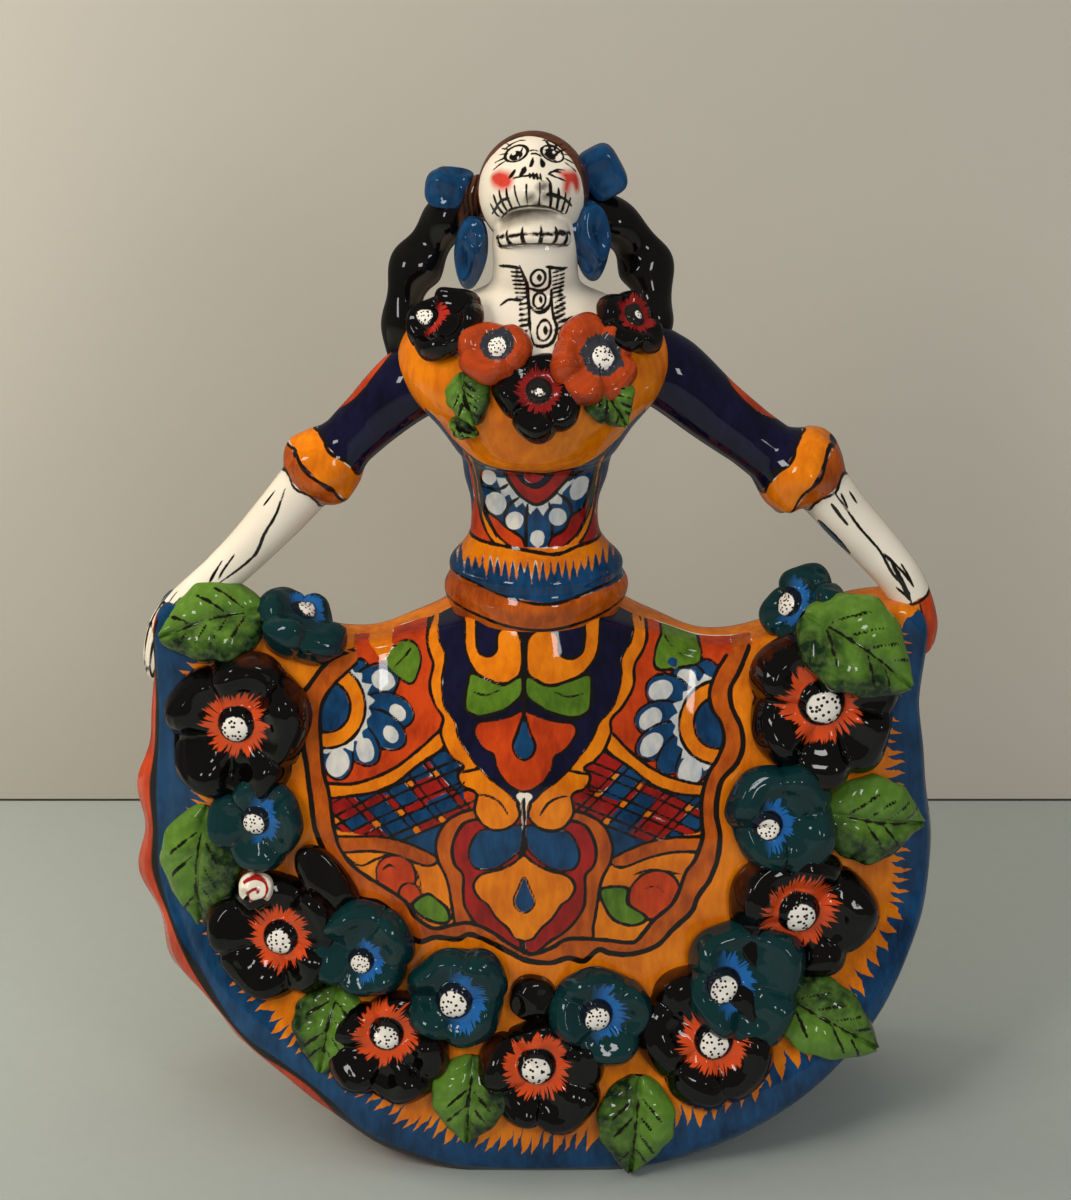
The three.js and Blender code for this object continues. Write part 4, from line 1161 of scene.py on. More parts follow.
# Bone lines: width, then points along the arm and outward from the middle of its front
RIGHT_BONES = [
    (1.1, [(65, 5.4), (73, 2.2), (81, 0.5), (88, -1.8), (95, -1.6), (105, -0.3)]),
    (1.0, [(68, 7.8), (75, 7.4)]), (1.0, [(93, 2.9), (100, 1.6), (103, 0.5)]), (1.0, [(98, 4.2), (106, 1.8)]),
    (0.9, [(107.4, 3), (107.4, -2.9)]), (1.1, [(115, 3.9), (114.4, 0.5), (112, 0), (108.3, -2)]),
    (1.0, [(112.4, 4), (114.5, 2.3), (113.7, -0.8)]), (1.4, [(116, 3.6), (120, 2), (126, -0.5)]),
    (1.0, [(115.5, 1), (121, 0), (126, -1.8)]), (0.9, [(125, 1.5), (125, -1)]),
]
LEFT_BONES = [
    (1.0, [(78, 2.8), (87, 2.3), (94, 1.6), (104, 1.3), (113, -0.4), (121, 0.6)]),
    (1.2, [(81, -0.2), (90, -0.5)]), (1.0, [(80.6, 4.3), (85.5, 3)]), (1.0, [(82, 7.1), (87, 6.6)]),
    (1.0, [(105, 1.6), (113, 2.3), (120, 2.7)]), (1.6, [(110, 1.7), (118, 0.1), (123, -0.4)]),
    (0.9, [(112, 3.7), (119, 2.7)]), (0.9, [(117, -2.2), (124, 0)]),
]
RIGHT_BRAID = [
    (-8, 12, 306, 6.6), (-19, 13, 305, 6.6), (-27, 14, 300.5, 7), (-33.5, 14, 291, 6.8), (-39, 12, 281.5, 7.2),
    (-41.5, 10, 271, 6.4), (-41.5, 7, 262, 6.2), (-40, 4, 254, 4),
]
LEFT_BRAID = [
    (6, 12, 308, 7), (18.5, 13, 303, 7.4), (28, 14, 295.5, 7.2), (33.5, 14, 287, 7.4), (36.5, 11, 278.5, 6.8),
    (37, 8, 270, 6.2), (36, 5, 262, 4.5),
]


RING_STEP = 0.6  # millimetres between two rings of a tube
ARM_COLUMNS = 110
BRAID_COLUMNS = 72


def tube_rings(path, columns, shape, girth=None):
    """Round sections square to a path, evenly spaced, with shape giving what each radius is multiplied by.

    girth lists distance along and radius, for a path whose points hold no radius. Returns the rings, and the
    distance along, angle and radius of each point. Angle 0 is the upper side of her right arm, and minus a
    quarter turn faces front.
    """
    fine = curve(path, steps=24)
    length = np.concatenate([[0], np.cumsum(np.linalg.norm(np.diff(fine[:, :3], axis=0), axis=1))])
    run = np.linspace(0, length[-1], int(length[-1] / RING_STEP))
    even = np.stack([np.interp(run, length, column) for column in fine.T], axis=-1)
    middle = even[:, :3]
    radius = np.interp(run, *np.transpose(girth)) if girth else even[:, 3]
    radius = np.convolve(np.pad(radius, 2, mode="edge"), np.array([1, 2, 3, 2, 1]) / 9, "valid")[:, None]
    along = unit(np.gradient(middle, axis=0))
    across = unit(np.cross((0, 1, 0), along))
    upward = np.cross(along, across)
    angle = (np.arange(columns) * TURN / columns - math.pi)[None, :]
    distance, angle = np.broadcast_arrays(run[:, None], angle)
    size = radius * shape(distance, angle)
    rings = middle[:, None] + across[:, None] * (size * np.cos(angle))[..., None]
    rings = rings + upward[:, None] * (size * np.sin(angle))[..., None]
    return rings, distance, angle, radius


def arm(name, path, girth, cuff, bones, side, shape, paint_end):
    """A sleeve, a flared cuff, a forearm with drawn bones, and a hand that paint_end finishes."""
    rings, distance, angle, radius = tube_rings(path, ARM_COLUMNS, shape, girth)
    points, faces = closed_skin(rings)
    # places are along the arm, and round it from its front, positive toward its outer side
    turn = (angle + math.pi / 2 + math.pi) % TURN - math.pi
    round_arm = side * turn * np.minimum(radius, 9)
    places = np.stack([distance, round_arm], axis=-1)
    places = np.concatenate([places.reshape(-1, 2), [(distance.min(), 0), (distance.max(), 0)]])
    art = Painting(places, "navy")
    paint_arm(art, cuff, bones, distance.max())
    paint_end(art)
    make_piece(name, points, faces, glazed, art.fields())


def paint_arm(art, cuff, bones, length):
    """Navy sleeve with a red patch on its outer side, banded cuff, and black bone lines on white."""
    top, middle, bottom = cuff
    art.area("scarlet", [(top - 30, 12), (top - 18, 9.5), (top - 9, 13), (top - 9, 20), (top - 30, 20)], 0.9)
    for coat, start, end in (("orange", top, middle), ("rust", middle, bottom), (None, bottom, length + 10)):
        art.fill(coat, [(start, -40), (end, -40), (end, 40), (start, 40)], rounded=False)
    for at in cuff:
        wave = [(at + 0.9 * math.sin(0.55 * aside), aside) for aside in np.linspace(-36, 36, 37)]
        art.line(wave, 1.1, taper=0)
    for width, line in bones:
        art.line(line, width)


def paint_fingers(art):
    """Four fingers over the hem: lines between them, knuckles, and a rounded tip to each."""
    for spot in (11, 8, 5, 2):
        art.line([(116, spot), (124, 0.95 * spot), (132, 0.85 * spot), (140, 0.7 * spot)], 0.9)
        art.line([(122.6, spot - 2.4), (121.2, spot - 1.2), (122.6, spot)], 0.9)
        art.line([(129, spot - 2.2), (127.6, spot - 1.1), (129, spot)], 0.9)
        art.line([(139, 0.75 * spot - 1.8), (142.4, 0.75 * spot - 0.9), (139, 0.75 * spot)], 0.9)


def paint_gathered_hem(art):
    """Her left hand is under the gathered hem: orange on its inner side and scarlet on its outer.

    Higher up, the inner side of the forearm has a small blue patch.
    """
    art.area("blue", [(84, -8.4), (88, -6.8), (95, -6.8), (99, -8.6), (92, -11)], 0.8)
    art.fill("orange", [(124, -40), (160, -40), (160, 2), (124, 2)], rounded=False)
    art.fill("scarlet", [(124, 2), (160, 2), (160, 40), (124, 40)], rounded=False)
    art.line([(124, -30), (123, -10), (124.6, 2), (123.4, 14), (124, 30)], 1.1, taper=0)
    art.line([(124.6, 2), (134, 1.4), (146, 2)], 1.0)


def fingered(start, cuff_start, cuff_end):
    """Shallow grooves between four fingers from start onward, and a wavy rim on the cuff."""
    def shape(distance, angle):
        fingers = smooth((distance - start) / 10) * 0.07 * np.cos(8 * angle)
        rim = 0.05 * np.sin(7 * angle + 1) * bump(distance, (cuff_start + cuff_end) / 2 + 2, 4)
        return 1 + fingers + rim
    return shape


def braided(distance, angle):
    """Twisted hair: two rounded strands wind about each other, with a lump every 18 mm."""
    twist = angle * 2 + distance * TURN / 36
    return 1 + 0.1 * np.cos(twist) + 0.12 * np.sin(distance * TURN / 18 + 0.6)


def braid(name, path):
    """One braid in black glaze."""
    rings, *_ = tube_rings(path, BRAID_COLUMNS, braided)
    points, faces = closed_skin(rings)
    art = Painting(points[:, [0, 2]], "black")
    make_piece(name, points, faces, dark_glaze, art.fields())


arm("right_arm", RIGHT_ARM, RIGHT_GIRTH, RIGHT_CUFF, RIGHT_BONES, 1, fingered(114, 45, 62), paint_fingers)
arm("left_arm", LEFT_ARM, LEFT_GIRTH, LEFT_CUFF, LEFT_BONES, -1, fingered(126, 60, 78), paint_gathered_hem)
dark_glaze = painted_material("tin_glazed_earthenware_black")
braid("right_braid", RIGHT_BRAID)
braid("left_braid", LEFT_BRAID)


# Bows and earrings: rounded blocks with thumbed hollows

def lump(name, middle, halves, square, turn, dents, coat="blue", taper=0.0, paint=None):
    """A ball whose corners are pushed out by a power below 1, with each dent a bell pressed into it.

    The clay that a dent pushes aside stands as a low ring round it. taper narrows the lower end by that share.
    """
    up = np.linspace(-88, 88, 60)[:, None]
    aside = (np.arange(96) / 96 * 360 - 180)[None, :]
    up, aside = np.broadcast_arrays(np.radians(up), np.radians(aside))
    ball = np.stack([np.cos(up) * np.sin(aside), -np.cos(up) * np.cos(aside), np.sin(up)], axis=-1)
    size = np.ones_like(up)
    for direction, width, depth in dents:
        apart = np.arccos(np.clip(ball @ unit(np.array(direction, float)), -1, 1))
        size = size - depth * bump(apart, 0, width) + 0.4 * depth * bump(apart, 1.6 * width, 0.6 * width)
    shape = np.sign(ball) * np.abs(ball) ** square * size[..., None] * np.array(halves)
    shape[..., :2] *= 1 + taper * np.minimum(ball[..., 2:], 0)
    cosine, sine = math.cos(turn), math.sin(turn)
    x = shape[..., 0] * cosine + shape[..., 2] * sine
    z = shape[..., 2] * cosine - shape[..., 0] * sine
    local = np.stack([x, shape[..., 1], z], axis=-1)
    points, faces = closed_skin(local + np.array(middle))
    art = Painting(ended(local)[:, [0, 2]], coat)
    if paint:
        paint(art)
    make_piece(name, points, faces, dark_glaze, art.fields())


def paint_bud(art):
    """A red spiral on white, as on a rolled bud, brushed a little unevenly."""
    turn = np.linspace(0, 1.4 * TURN, 40)
    reach = 1.2 + 0.48 * turn + 0.3 * np.sin(2 * turn)
    outer = np.column_stack([reach * np.cos(turn), reach * np.sin(turn)])
    inner = outer * ((reach - 1) / reach)[:, None]
    art.fill("crimson", np.concatenate([outer, inner[::-1]]), rounded=False)


def paint_strands(art):
    """Dark strands over brown hair."""
    for x in (-2.6, -1.2, 0.4, 2):
        art.line([(x + 1.6, 9), (x, 3), (x + 0.6, -3), (x - 0.6, -9)], 0.9)


lump("right_temple_hair", (-19.6, 7.5, 306), (3.6, 4, 9.4), 0.9, 0.3, [], "hair", paint=paint_strands)
lump("right_bow", (-26, 12, 309.5), (8.2, 6.5, 6.2), 0.7, 0.1,
     [((-0.3, -0.9, -0.1), 0.35, 0.22), ((0.15, -0.2, 1), 0.3, 0.25)])
lump("left_bow", (20.5, 12, 315), (6.4, 6, 8), 0.55, -0.5, [((0, -1, -0.2), 0.5, 0.12)])
lump("right_earring", (-19.8, -1, 292.5), (5.2, 6, 11.4), 0.85, 0.1,
     [((-0.4, -0.9, -0.1), 0.3, 0.3), ((0.2, -0.9, 0.7), 0.3, 0.15)], taper=0.3)
lump("left_earring", (16.4, -2, 296.5), (6.6, 6.5, 12.6), 0.85, -0.12,
     [((0.5, -0.8, 0.3), 0.35, 0.35), ((-0.25, -0.9, -0.35), 0.3, 0.16), ((-1, -0.4, 0.25), 0.42, -0.42)],
     taper=0.4)


# Flowers and leaves of applied clay

FLOWER_COLUMNS = 112
KNOB_ROWS = 10
PETAL_ROWS = 23


def stand_on(local, at, facing, spin):
    """Turns points made lying flat, facing +Z, to face outward where they sit."""
    normal = unit(np.array(facing, float))
    right = unit(np.cross((0, 0, 1), normal))
    upward = np.cross(normal, right)
    heading = math.radians(spin)
    x = local[..., 0] * math.cos(heading) - local[..., 1] * math.sin(heading)
    y = local[..., 0] * math.sin(heading) + local[..., 1] * math.cos(heading)
    return np.array(at) + x[..., None] * right + y[..., None] * upward + local[..., 2:] * normal


def flower(name, at, facing, radius, spin, knob_at, knob, petals, material, seed, lobing=0.14):
    """Puffy petals round a button, thumbed a little out of true.

    The outline is an uneven circle that dips between petals, by lobing as a share of the radius. The height runs
    from the foot round the rim, up over the petals and down to a hollow round the button, with a crease between
    petals, one side of each lying over the next, and a few soft bulges and dents. The button is half a ball.
    """
    draw = np.random.default_rng(seed)
    angle = np.arange(FLOWER_COLUMNS) * TURN / FLOWER_COLUMNS
    phase = draw.uniform(0, TURN, 4)

    def lobe(heading):
        return np.abs(np.cos(petals * (heading + 0.12 * np.sin(2 * heading + phase[0])) / 2)) ** 0.6

    def reach(heading):
        uneven = 1 + 0.055 * np.sin(2 * heading + phase[1]) + 0.04 * np.sin(3 * heading + phase[3])
        uneven = uneven + 0.02 * np.sin(7 * heading + phase[2])
        return radius * (1.05 - lobing + lobing * lobe(heading)) * uneven

    rim = reach(angle - math.radians(spin))[:, None] * np.stack([np.cos(angle), np.sin(angle)], axis=-1)
    middle = np.array(knob_at, float)
    knob_share = knob / radius
    shares = np.concatenate([
        np.linspace(0.02, knob_share * 1.08, KNOB_ROWS),
        knob_share * 1.08 + (1 - knob_share * 1.08) * (np.linspace(0, 1, PETAL_ROWS + 1)[1:] ** 0.8),
    ])
    top = middle + (rim - middle) * shares[:, None, None]
    away = np.linalg.norm(top, axis=-1)
    heading = np.arctan2(top[..., 1], top[..., 0]) - math.radians(spin)
    share = np.clip(away / reach(heading), 0, 1)
    height = np.interp(share, [0, 0.25, 0.45, 0.6, 0.74, 0.87, 0.96, 1.0], [0.31, 0.3, 0.35, 0.43, 0.46, 0.4, 0.24, 0.1])
    crease = 0.17 * (1 - lobe(heading)) * smooth((share - 0.15) / 0.5)
    overlap = 0.06 * np.sin(petals * heading) * smooth((share - 0.2) / 0.4) * smooth((1 - share) / 0.15)
    height = radius * (height - crease + overlap) + 0.35 * np.sin(away * 0.8 + phase[2]) * smooth(share)
    for _ in range(6):
        turn, depth, out = draw.uniform(0, TURN), draw.uniform(-0.14, 0.12), draw.uniform(0.55, 0.8)
        spot = radius * out * np.array([math.cos(turn), math.sin(turn)])
        width = radius * draw.uniform(0.18, 0.32)
        height = height + radius * depth * bump(np.linalg.norm(top - spot, axis=-1), 0, width)
    from_knob = np.linalg.norm(top - middle, axis=-1)
    ball = np.sqrt(np.clip(1 - (from_knob / knob) ** 2, 0, 1))
    height = height + 0.5 * knob * ball ** 0.8
    upper = np.concatenate([top, height[..., None]], axis=-1)[::-1]
    under = [(0.74, -0.45), (0.84, -0.25), (0.93, -0.08), (0.99, 0.02)]
    lower = np.stack([
        np.concatenate([rim * share, np.full((FLOWER_COLUMNS, 1), radius * rise)], axis=-1) for share, rise in under
    ])
    local = np.concatenate([lower, upper])
    points, faces = closed_skin(stand_on(local, at, facing, 0))
    bloom = (local[..., :2] - middle) / knob
    bloom = np.concatenate([bloom, (np.linalg.norm(local[..., :2], axis=-1) / radius)[..., None]], axis=-1)
    fields = {"bloom": ended(bloom), "own": np.full(len(points), 3.1 * seed)}
    make_piece(name, points, faces, material, fields)


def flower_material(name, petal, thin, ring, ring_out, ring_from, button, white=0.52, streaked=0.0):
    """Glazed clay flower: dark petals thinning to brown at their edges, a feathered ring, and a speckled button.

    bloom is the place from the button's middle, in button radii, and the share of the flower's radius. own is
    a number of each flower's own, so that no two are brushed alike. The ring's strokes follow a noise that
    depends on direction alone, so they run outward. ring_from is where it starts, across the flower. white is
    how much of the button is white, and streaked how strongly the petals are streaked with their thin colour.
    """
    material, tree, where = new_material(name)
    bloom = add(tree, "Attribute", {}, output=1, attribute_name="bloom")
    own = add(tree, "Attribute", {}, output=2, attribute_name="own")
    flat = add(tree, "VectorMath", {0: bloom, 1: (1.0, 1.0, 0.0)}, operation="MULTIPLY")
    away = add(tree, "VectorMath", {0: flat}, output=1, operation="LENGTH")
    far_x = add(tree, "SeparateXYZ", {0: bloom}, output=0)
    rim_share = add(tree, "SeparateXYZ", {0: bloom}, output=2)
    twist = add(tree, "Math", {0: away, 1: 0.12}, operation="MULTIPLY")
    twisted = add(tree, "VectorRotate", {"Vector": flat, "Angle": twist}, rotation_type="Z_AXIS")
    seat = add(tree, "VectorMath", {0: twisted}, operation="NORMALIZE")
    feather = add(tree, "TexNoise", {"Vector": seat, "W": own, "Scale": 4.0, "Detail": 2.0}, noise_dimensions="4D")
    fine = add(tree, "TexNoise", {"Vector": seat, "W": own, "Scale": 15.0, "Detail": 1.0}, noise_dimensions="4D")
    cloud = add(tree, "TexNoise", {"Vector": where, "Scale": 1 / (8 * MM), "Detail": 3.0})
    edge = add(tree, "MapRange", {"Value": rim_share, "From Min": 0.8, "From Max": 1.08})
    edge = add(tree, "Math", {0: edge, 1: cloud}, operation="MULTIPLY")
    edge = add(tree, "MapRange", {"Value": edge, "From Min": 0.25, "From Max": 0.6})
    streak = add(tree, "MapRange", {"Value": fine, "From Min": 0.45, "From Max": 0.65, "To Max": streaked})
    edge = add(tree, "Math", {0: edge, 1: streak}, operation="MAXIMUM")
    colour = add(tree, "Mix", {0: edge, 6: linear(petal), 7: linear(thin)}, output=2, data_type="RGBA")
    reach = add(
        tree, "MapRange", {"Value": feather, "From Min": 0.3, "From Max": 0.7, "To Min": 1.35, "To Max": ring_out}
    )
    beyond = add(tree, "Math", {0: reach, 1: away}, operation="SUBTRACT")
    feathered = add(tree, "MapRange", {"Value": beyond, "From Min": -0.04, "From Max": 0.05})
    shown = add(tree, "MapRange", {"Value": far_x, "From Min": ring_from, "From Max": ring_from + 0.9})
    feathered = add(tree, "Math", {0: feathered, 1: shown}, operation="MULTIPLY")
    outward = add(tree, "Math", {0: away, 1: 0.33, 2: -0.12}, operation="MULTIPLY_ADD")
    gap = add(tree, "Math", {0: fine, 1: outward}, operation="SUBTRACT")
    stroke = add(tree, "MapRange", {"Value": gap, "From Min": -0.02, "From Max": 0.03})
    feathered = add(tree, "Math", {0: feathered, 1: stroke}, operation="MULTIPLY")
    colour = add(tree, "Mix", {0: feathered, 6: colour, 7: linear(ring)}, output=2, data_type="RGBA")
    on_button = add(tree, "MapRange", {"Value": away, "From Min": 1.12, "From Max": 1.04})
    colour = add(tree, "Mix", {0: on_button, 6: colour, 7: linear(button)}, output=2, data_type="RGBA")
    white_middle = add(tree, "VectorMath", {0: flat, 1: (0.0, 0.22, 0.0)}, operation="ADD")
    white_away = add(tree, "VectorMath", {0: white_middle}, output=1, operation="LENGTH")
    ragged = add(tree, "Math", {0: cloud, 1: 0.5, 2: white}, operation="MULTIPLY_ADD")
    white_edge = add(tree, "Math", {0: ragged, 1: white_away}, operation="SUBTRACT")
    whitened = add(tree, "MapRange", {"Value": white_edge, "From Min": -0.03, "From Max": 0.03})
    seed_place = add(tree, "VectorMath", {0: flat, 1: own}, operation="ADD")
    speck = add(tree, "TexVoronoi", {"Vector": seed_place, "Scale": 3.3}, voronoi_dimensions="2D")
    dotted = add(tree, "MapRange", {"Value": speck, "From Min": 0.22, "From Max": 0.28})
    white_tone = add(
        tree, "Mix", {0: dotted, 6: linear("#1A1512"), 7: linear("#E4DFD4")}, output=2, data_type="RGBA"
    )
    colour = add(tree, "Mix", {0: whitened, 6: colour, 7: white_tone}, output=2, data_type="RGBA")
    uneven = add(tree, "TexNoise", {"Vector": where, "Scale": 1 / (5 * MM), "Detail": 2.0})
    glaze_surface(tree, colour, uneven, THICK_GLAZE)
    return material


def leaf(name, at, facing, length, width, heading, seed):
    """A thick clay leaf along its heading: creased along the middle, scalloped at its edges, flat beneath.

    Half the width is a sine of the share of the length raised to 0.8, raised again so the tips are blunt, and
    the rise another sine.
    """
    draw = np.random.default_rng(seed)
    phase = draw.uniform(0, TURN, 3)
    share = np.linspace(0.015, 0.985, 46)[:, None]
    side = np.concatenate([np.linspace(1, -1, 33), np.linspace(-0.94, 0.94, 9)])[None, :]
    top = (np.arange(42) < 33)[None, :]
    half = width / 2 * np.sin(math.pi * share**0.8) ** 0.8 + 0.6
    half = half * (1 + 0.035 * np.sin(share * 24 + phase[0] + np.sign(side)))
    rise = 0.16 * length * np.sin(math.pi * share)
    across = np.abs(side)
    fold = 1.5 * np.sin(math.pi * across) - 1.4 * across**3 - 0.9 * bump(across, 0, 0.09)
    ribs = 0.35 * np.sin(share * 30 - 5 * across) * np.sin(math.pi * across)
    upper = rise + fold + ribs + 0.5 * np.sin(share * 9 + phase[1]) * across
    height = np.where(top, upper, -3 + 0 * rise)
    x = length * (share - 0.5) + 0 * side
    local = np.stack([x, half * side, height], axis=-1)
    points, faces = closed_skin(stand_on(local, at, facing, heading))
    art = Painting(ended(local)[:, :2])
    art.line([(-0.3 * length, 0.2), (0, -0.3), (0.33 * length, 0.2)], 1.0)
    for k in range(4):
        start = (-0.3 + 0.17 * k) * length
        swing = width * (0.34 - 0.03 * k)
        for lean in (-1, 1):
            if (k + seed) % 3 or lean > 0:
                art.line([(start, lean * 1.2), (start + 0.12 * length, lean * swing * 0.7),
                          (start + 0.2 * length, lean * swing)], 0.95)
    shade = ended(np.broadcast_to(side, height.shape) * (1 if seed % 2 else -1))
    make_piece(name, points, faces, leaf_glaze, {"ink": art.ink, "shade": shade})


def leaf_material():
    """Copper-green glaze: bright where thin, nearly black-green where it pooled on one half, with brushed veins."""
    material, tree, where = new_material("copper_green_glaze")
    shade = add(tree, "Attribute", {}, output=2, attribute_name="shade")
    cloud = add(tree, "TexNoise", {"Vector": where, "Scale": 1 / (9 * MM), "Detail": 4.0})
    streak = add(tree, "TexNoise", {"Vector": where, "Scale": 1 / (2.5 * MM), "Detail": 4.0})
    lean = add(tree, "Math", {0: shade, 1: 0.3, 2: cloud}, operation="MULTIPLY_ADD")
    pooled = add(tree, "MapRange", {"Value": lean, "From Min": 0.42, "From Max": 0.78})
    colour = add(tree, "Mix", {0: pooled, 6: linear("#517626"), 7: linear("#0F2412")}, output=2, data_type="RGBA")
    light = add(tree, "MapRange", {"Value": streak, "From Min": 0.45, "From Max": 0.75, "To Max": 0.3})
    colour = add(tree, "Mix", {0: light, 6: colour, 7: linear("#7C9A4A")}, output=2, data_type="RGBA")
    colour = drawn_line(tree, colour, streak, 0.3, "#14120C")
    glaze_surface(tree, colour, cloud, THICK_GLAZE)
    return material


leaf_glaze = leaf_material()
ALL_ROUND = -9.0  # a ring that starts this far out to one side runs all the way round
black_flower = flower_material(
    "manganese_black_glaze", petal="#060505", thin="#4A2210", ring="#C8481C", ring_out=2.5, ring_from=ALL_ROUND,
    button="#060505",
)
chest_flower = flower_material(
    "manganese_black_glaze_chest", petal="#060505", thin="#3A1A0E", ring="#7C1916", ring_out=2.3,
    ring_from=ALL_ROUND, button="#1C1A19", white=0.15,
)
shoulder_flower = flower_material(
    "manganese_black_glaze_shoulder", petal="#060505", thin="#3A1A0E", ring="#A2281C", ring_out=2.7,
    ring_from=0.1, button="#060505",
)
teal_flower = flower_material(
    "dark_teal_glaze", petal="#0A2C2E", thin="#08222C", ring="#1E5E9E", ring_out=2.3, ring_from=-0.4,
    button="#0A1420",
)
orange_flower = flower_material(
    "brushed_orange_glaze", petal="#A63E16", thin="#5E1A0A", ring="#2E3238", ring_out=1.7, ring_from=ALL_ROUND,
    button="#2E3238", streaked=0.28,
)
# On the skirt: x, z, radius, spin in degrees, how far lifted by those under it, the button's place, its
# radius, the number of petals and the glaze
SKIRT_FLOWERS = [
    (-94.5, 142.5, 24, 10, 0, (1.2, 3), 5.6, 5, black_flower),
    (-83, 75, 22, 30, 0, (2.8, 0.7), 5.4, 5, black_flower),
    (-47, 41.5, 18.5, 0, 0, (-0.4, 5.8), 5.2, 5, black_flower),
    (2.5, 35, 19.5, 18, -2, (-2.2, 4.4), 5.8, 5, black_flower),
    (55, 45, 22.5, 40, 0, (1.6, -1.1), 5.8, 5, black_flower),
    (84.5, 82, 23.8, 0, 0, (-1.8, 3), 6.6, 5, black_flower),
    (91.5, 150.5, 25.5, 25, 0, (-2, 1.8), 7.0, 6, black_flower),
    (-88, 113, 15.5, 0, 3, (0.9, 2.3), 4.5, 4, teal_flower),
    (-55, 73.5, 16.5, 20, 3, (0.5, -2.3), 4.0, 4, teal_flower),
    (-24.5, 60, 16.5, 40, 3, (-0.2, -0.2), 5.6, 4, teal_flower),
    (20.5, 54, 16, 10, 3, (-2.3, 1.3), 5.0, 4, teal_flower),
    (67, 61, 20.5, 30, 3, (-7.8, 0.6), 5.6, 4, teal_flower),
    (78.2, 115.5, 18.3, 50, 3, (-6.1, -0.8), 4.6, 4, teal_flower),
]
# A loose petal, a small lump and a rolled bud among them: name, x, z, how far lifted, half sizes, turn, coat
# and painting
SKIRT_LUMPS = [
    ("loose_petal", -66, 94, 1.5, (7, 6, 15), -0.6, "black", None),
    ("small_lump", -1, 60, 0, (7.4, 6, 7.4), 0.2, "black", None),
    ("rose_bud", -87, 93, 8, (5.6, 4.5, 4.8), 0, None, paint_bud),
]
# x, z, length, width and heading in degrees
SKIRT_LEAVES = [
    (-107, 94, 44, 27, -93), (-66.5, 47, 30, 23, -101), (-21, 27, 30, 24, -94),
    (32, 18, 34, 24, -95), (93.5, 48, 41, 24, -33), (109, 111, 38, 28, -14),
]
# At the corners and the neckline they face their own way: place, radius, facing, spin, button, petals, lobing
# and glaze
TURNED_FLOWERS = [
    ((-75, -8, 173), 14.8, (0.36, -0.22, 0.9), 0, (2, 2), 4.0, 4, 0.2, teal_flower),
    ((86, -8, 178), 15, (-0.62, -0.62, 0.48), 20, (-4, 1), 4.4, 4, 0.2, teal_flower),
    ((-27, -18, 274), 12, (-0.45, -0.6, 0.66), 0, (-4.6, 0), 3.2, 4, 0.1, shoulder_flower),
    ((-12.5, -29, 268.5), 10.8, (-0.1, -0.75, 0.65), 12, (1.5, 1), 3.4, 3, 0.16, orange_flower),
    ((1, -34, 256), 13.2, (0, -0.85, 0.5), -12, (0, 1), 3.8, 4, 0.22, chest_flower),
    ((17, -28, 265.5), 13.8, (0.25, -0.75, 0.6), 30, (2, 0), 4.4, 5, 0.14, orange_flower),
    ((28, -18, 274.5), 10.8, (0.5, -0.55, 0.66), 40, (1, 1), 3.4, 4, 0.2, chest_flower),
]
TURNED_LEAVES = [
    ((-102.5, -10, 174.5), 36, 27, (0, -0.8, 0.6), 196), ((101, -22, 170), 43, 31, (0.25, -0.85, 0.45), -40),
    ((-20, -32, 255), 17, 13, (-0.35, -0.93, 0.1), -70), ((22.5, -31, 254), 19, 15, (0.35, -0.93, 0.1), -60),
    ((-21.6, -28.5, 245), 10, 7, (-0.5, -0.85, -0.1), -20),
]

for number, (x, z, radius, spin, lift, knob_at, knob, petals, glaze) in enumerate(SKIRT_FLOWERS, 1):
    here, facing = skirt_spot(x, z)
    flower(f"skirt_flower_{number}", here + lift * facing, facing, radius, spin, knob_at, knob, petals, glaze, number)
for name, x, z, lift, halves, turn, coat, paint in SKIRT_LUMPS:
    here, facing = skirt_spot(x, z)
    thumbed = [((0.3, -0.8, 0.4), 0.4, 0.14), ((-0.5, -0.8, -0.2), 0.3, 0.16), ((0.3, -0.8, -0.7), 0.3, 0.18)]
    lump(name, here + lift * facing, halves, 0.85, turn, thumbed, coat, paint=paint)
for number, (x, z, length, width, heading) in enumerate(SKIRT_LEAVES, 1):
    here, facing = skirt_spot(x, z)
    leaf(f"skirt_leaf_{number}", here, facing, length, width, heading, number)
for number, (at, radius, facing, spin, knob_at, knob, petals, lobing, glaze) in enumerate(TURNED_FLOWERS, 1):
    flower(f"upper_flower_{number}", at, facing, radius, spin, knob_at, knob, petals, glaze, 40 + number, lobing)
for number, (at, length, width, facing, heading) in enumerate(TURNED_LEAVES, 1):
    leaf(f"upper_leaf_{number}", at, facing, length, width, heading, 60 + number)


# Where she is shown: a pale table and a plain wall, both only a stage

def stage_material(name, colour, light_share):
    """Matt painted board with a faint mottle. From behind it is clear, so that her back can be seen."""
    material, tree, where = new_material(name)
    grain = add(tree, "TexNoise", {"Vector": where, "Scale": 1 / (6 * MM), "Detail": 6.0, "Roughness": 0.7})
    lighter = tuple(min(value * light_share, 1) for value in linear(colour)[:3]) + (1.0,)
    tint = add(tree, "Mix", {0: grain, 6: linear(colour), 7: lighter}, output=2, data_type="RGBA")
    board = add(tree, "BsdfPrincipled", {"Base Color": tint, "Roughness": 0.75})
    behind = add(tree, "NewGeometry", {}, output=6)
    clear = add(tree, "BsdfTransparent", {})
    surface = add(tree, "MixShader", {0: behind, 1: board, 2: clear})
    out = tree.nodes.new("ShaderNodeOutputMaterial")
    tree.links.new(surface, out.inputs["Surface"])
    return material


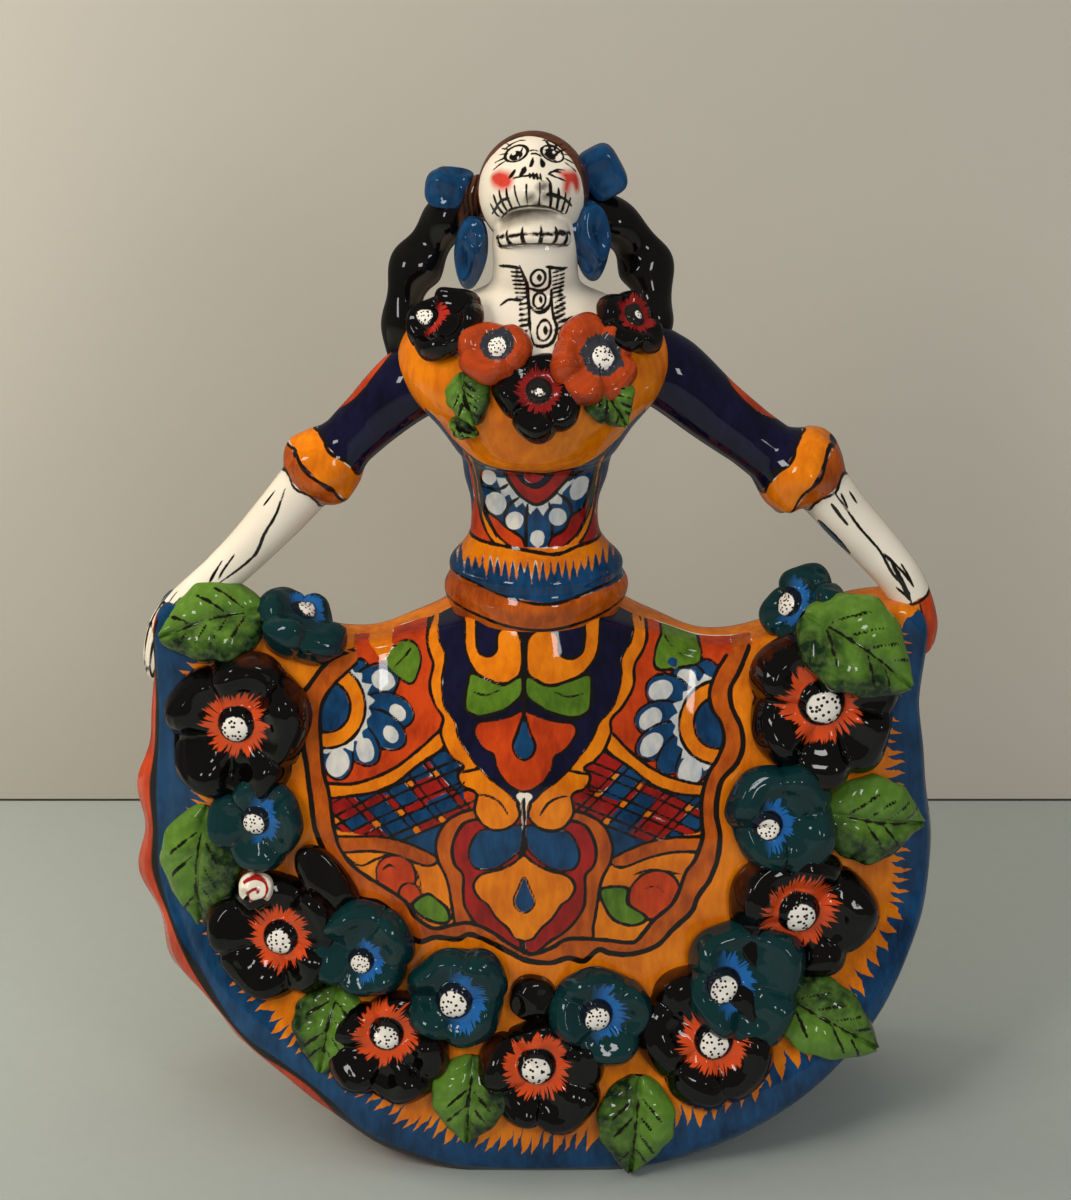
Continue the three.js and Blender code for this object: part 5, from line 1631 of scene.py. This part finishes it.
def stage_board(name, front, back, top, material, mirrored=True):
    """A flat board as wide as the room, from the table's height at front to top at back.

    Unless mirrored, the glaze shows no reflection of it.
    """
    corners = [(-ROOM_HALF, front, 0), (ROOM_HALF, front, 0), (ROOM_HALF, back, top), (-ROOM_HALF, back, top)]
    mesh = bpy.data.meshes.new(name)
    mesh.from_pydata([tuple(value * MM for value in corner) for corner in corners], [], [(0, 1, 2, 3)])
    mesh.materials.append(material)
    board = bpy.data.objects.new(name, mesh)
    board.visible_glossy = mirrored
    bpy.context.scene.collection.objects.link(board)


stage_board("table", -ROOM_HALF, WALL_BEHIND, 0, stage_material("pale_board", "#969E9A", 1.12))
# a dark strip along the foot of the wall: painted shade in the corner where the table meets it
stage_board("painted_shade_line", WALL_BEHIND - 1, WALL_BEHIND - 1, 1, stage_material("painted_shade_strip", "#3A3632", 1.0))
stage_board("wall", WALL_BEHIND, WALL_BEHIND, ROOM_HALF, stage_material("warm_wall", "#B0AEA4", 1.03), mirrored=False)


# Light and camera

def look_along(thing, at, target):
    """Puts a light or camera at a point, turned toward another."""
    at, target = Vector(at) * MM, Vector(target) * MM
    thing.location = at
    thing.rotation_euler = (target - at).to_track_quat("-Z", "Y").to_euler()


def soft_light(name, at, target, width, height, power, colour, seen=False):
    """A studio soft box. Only a small one is seen mirrored in the glaze, as a window pane would be."""
    light = bpy.data.lights.new(name, "AREA")
    light.shape = "RECTANGLE"
    light.size = width * MM
    light.size_y = height * MM
    light.energy = power
    light.color = linear(colour)[:3]
    lamp = bpy.data.objects.new(name, light)
    lamp.visible_glossy = seen
    bpy.context.scene.collection.objects.link(lamp)
    look_along(lamp, at, target)


FIGURE_MIDDLE = (0, 0, 150)
soft_light("window_left", (-850, -790, 970), FIGURE_MIDDLE, 600, 720, 9.0, "#FFF3E2")
soft_light("room_front", (300, -900, 500), FIGURE_MIDDLE, 700, 700, 3.1, "#F2F4FF")
soft_light("overhead", (0, -100, 950), FIGURE_MIDDLE, 600, 600, 2.2, "#FFF8EE")
soft_light("wall_wash_left", (-560, 60, 460), (-470, WALL_BEHIND, 200), 200, 200, 2.3, "#FFF3E2")
soft_light("wall_wash_right", (420, 60, 160), (340, WALL_BEHIND, 40), 200, 200, 0.2, "#FFF3E2")
soft_light("pane_left", (-420, -620, 640), FIGURE_MIDDLE, 150, 220, 1.1, "#FFFFFF", seen=True)
soft_light("pane_right", (380, -700, 520), FIGURE_MIDDLE, 120, 180, 0.65, "#FFFFFF", seen=True)

world = bpy.data.worlds.new("studio")
world.use_nodes = True
world.node_tree.nodes["Background"].inputs["Color"].default_value = linear("#D8D2C8")
world.node_tree.nodes["Background"].inputs["Strength"].default_value = 0.2
bpy.context.scene.world = world
# colours are shown as they are, without the toning that pales strong ones
bpy.context.scene.view_settings.view_transform = "Standard"

camera_data = bpy.data.cameras.new("camera")
camera_data.sensor_fit = "VERTICAL"
camera_data.sensor_height = 36
camera_data.lens = LENS
camera = bpy.data.objects.new("camera", camera_data)
bpy.context.scene.collection.objects.link(camera)
pitch = math.radians(CAMERA_PITCH)
look_along(
    camera,
    (AIM[0], AIM[1] - CAMERA_DISTANCE * math.cos(pitch), AIM[2] + CAMERA_DISTANCE * math.sin(pitch)),
    AIM,
)
bpy.context.scene.camera = camera
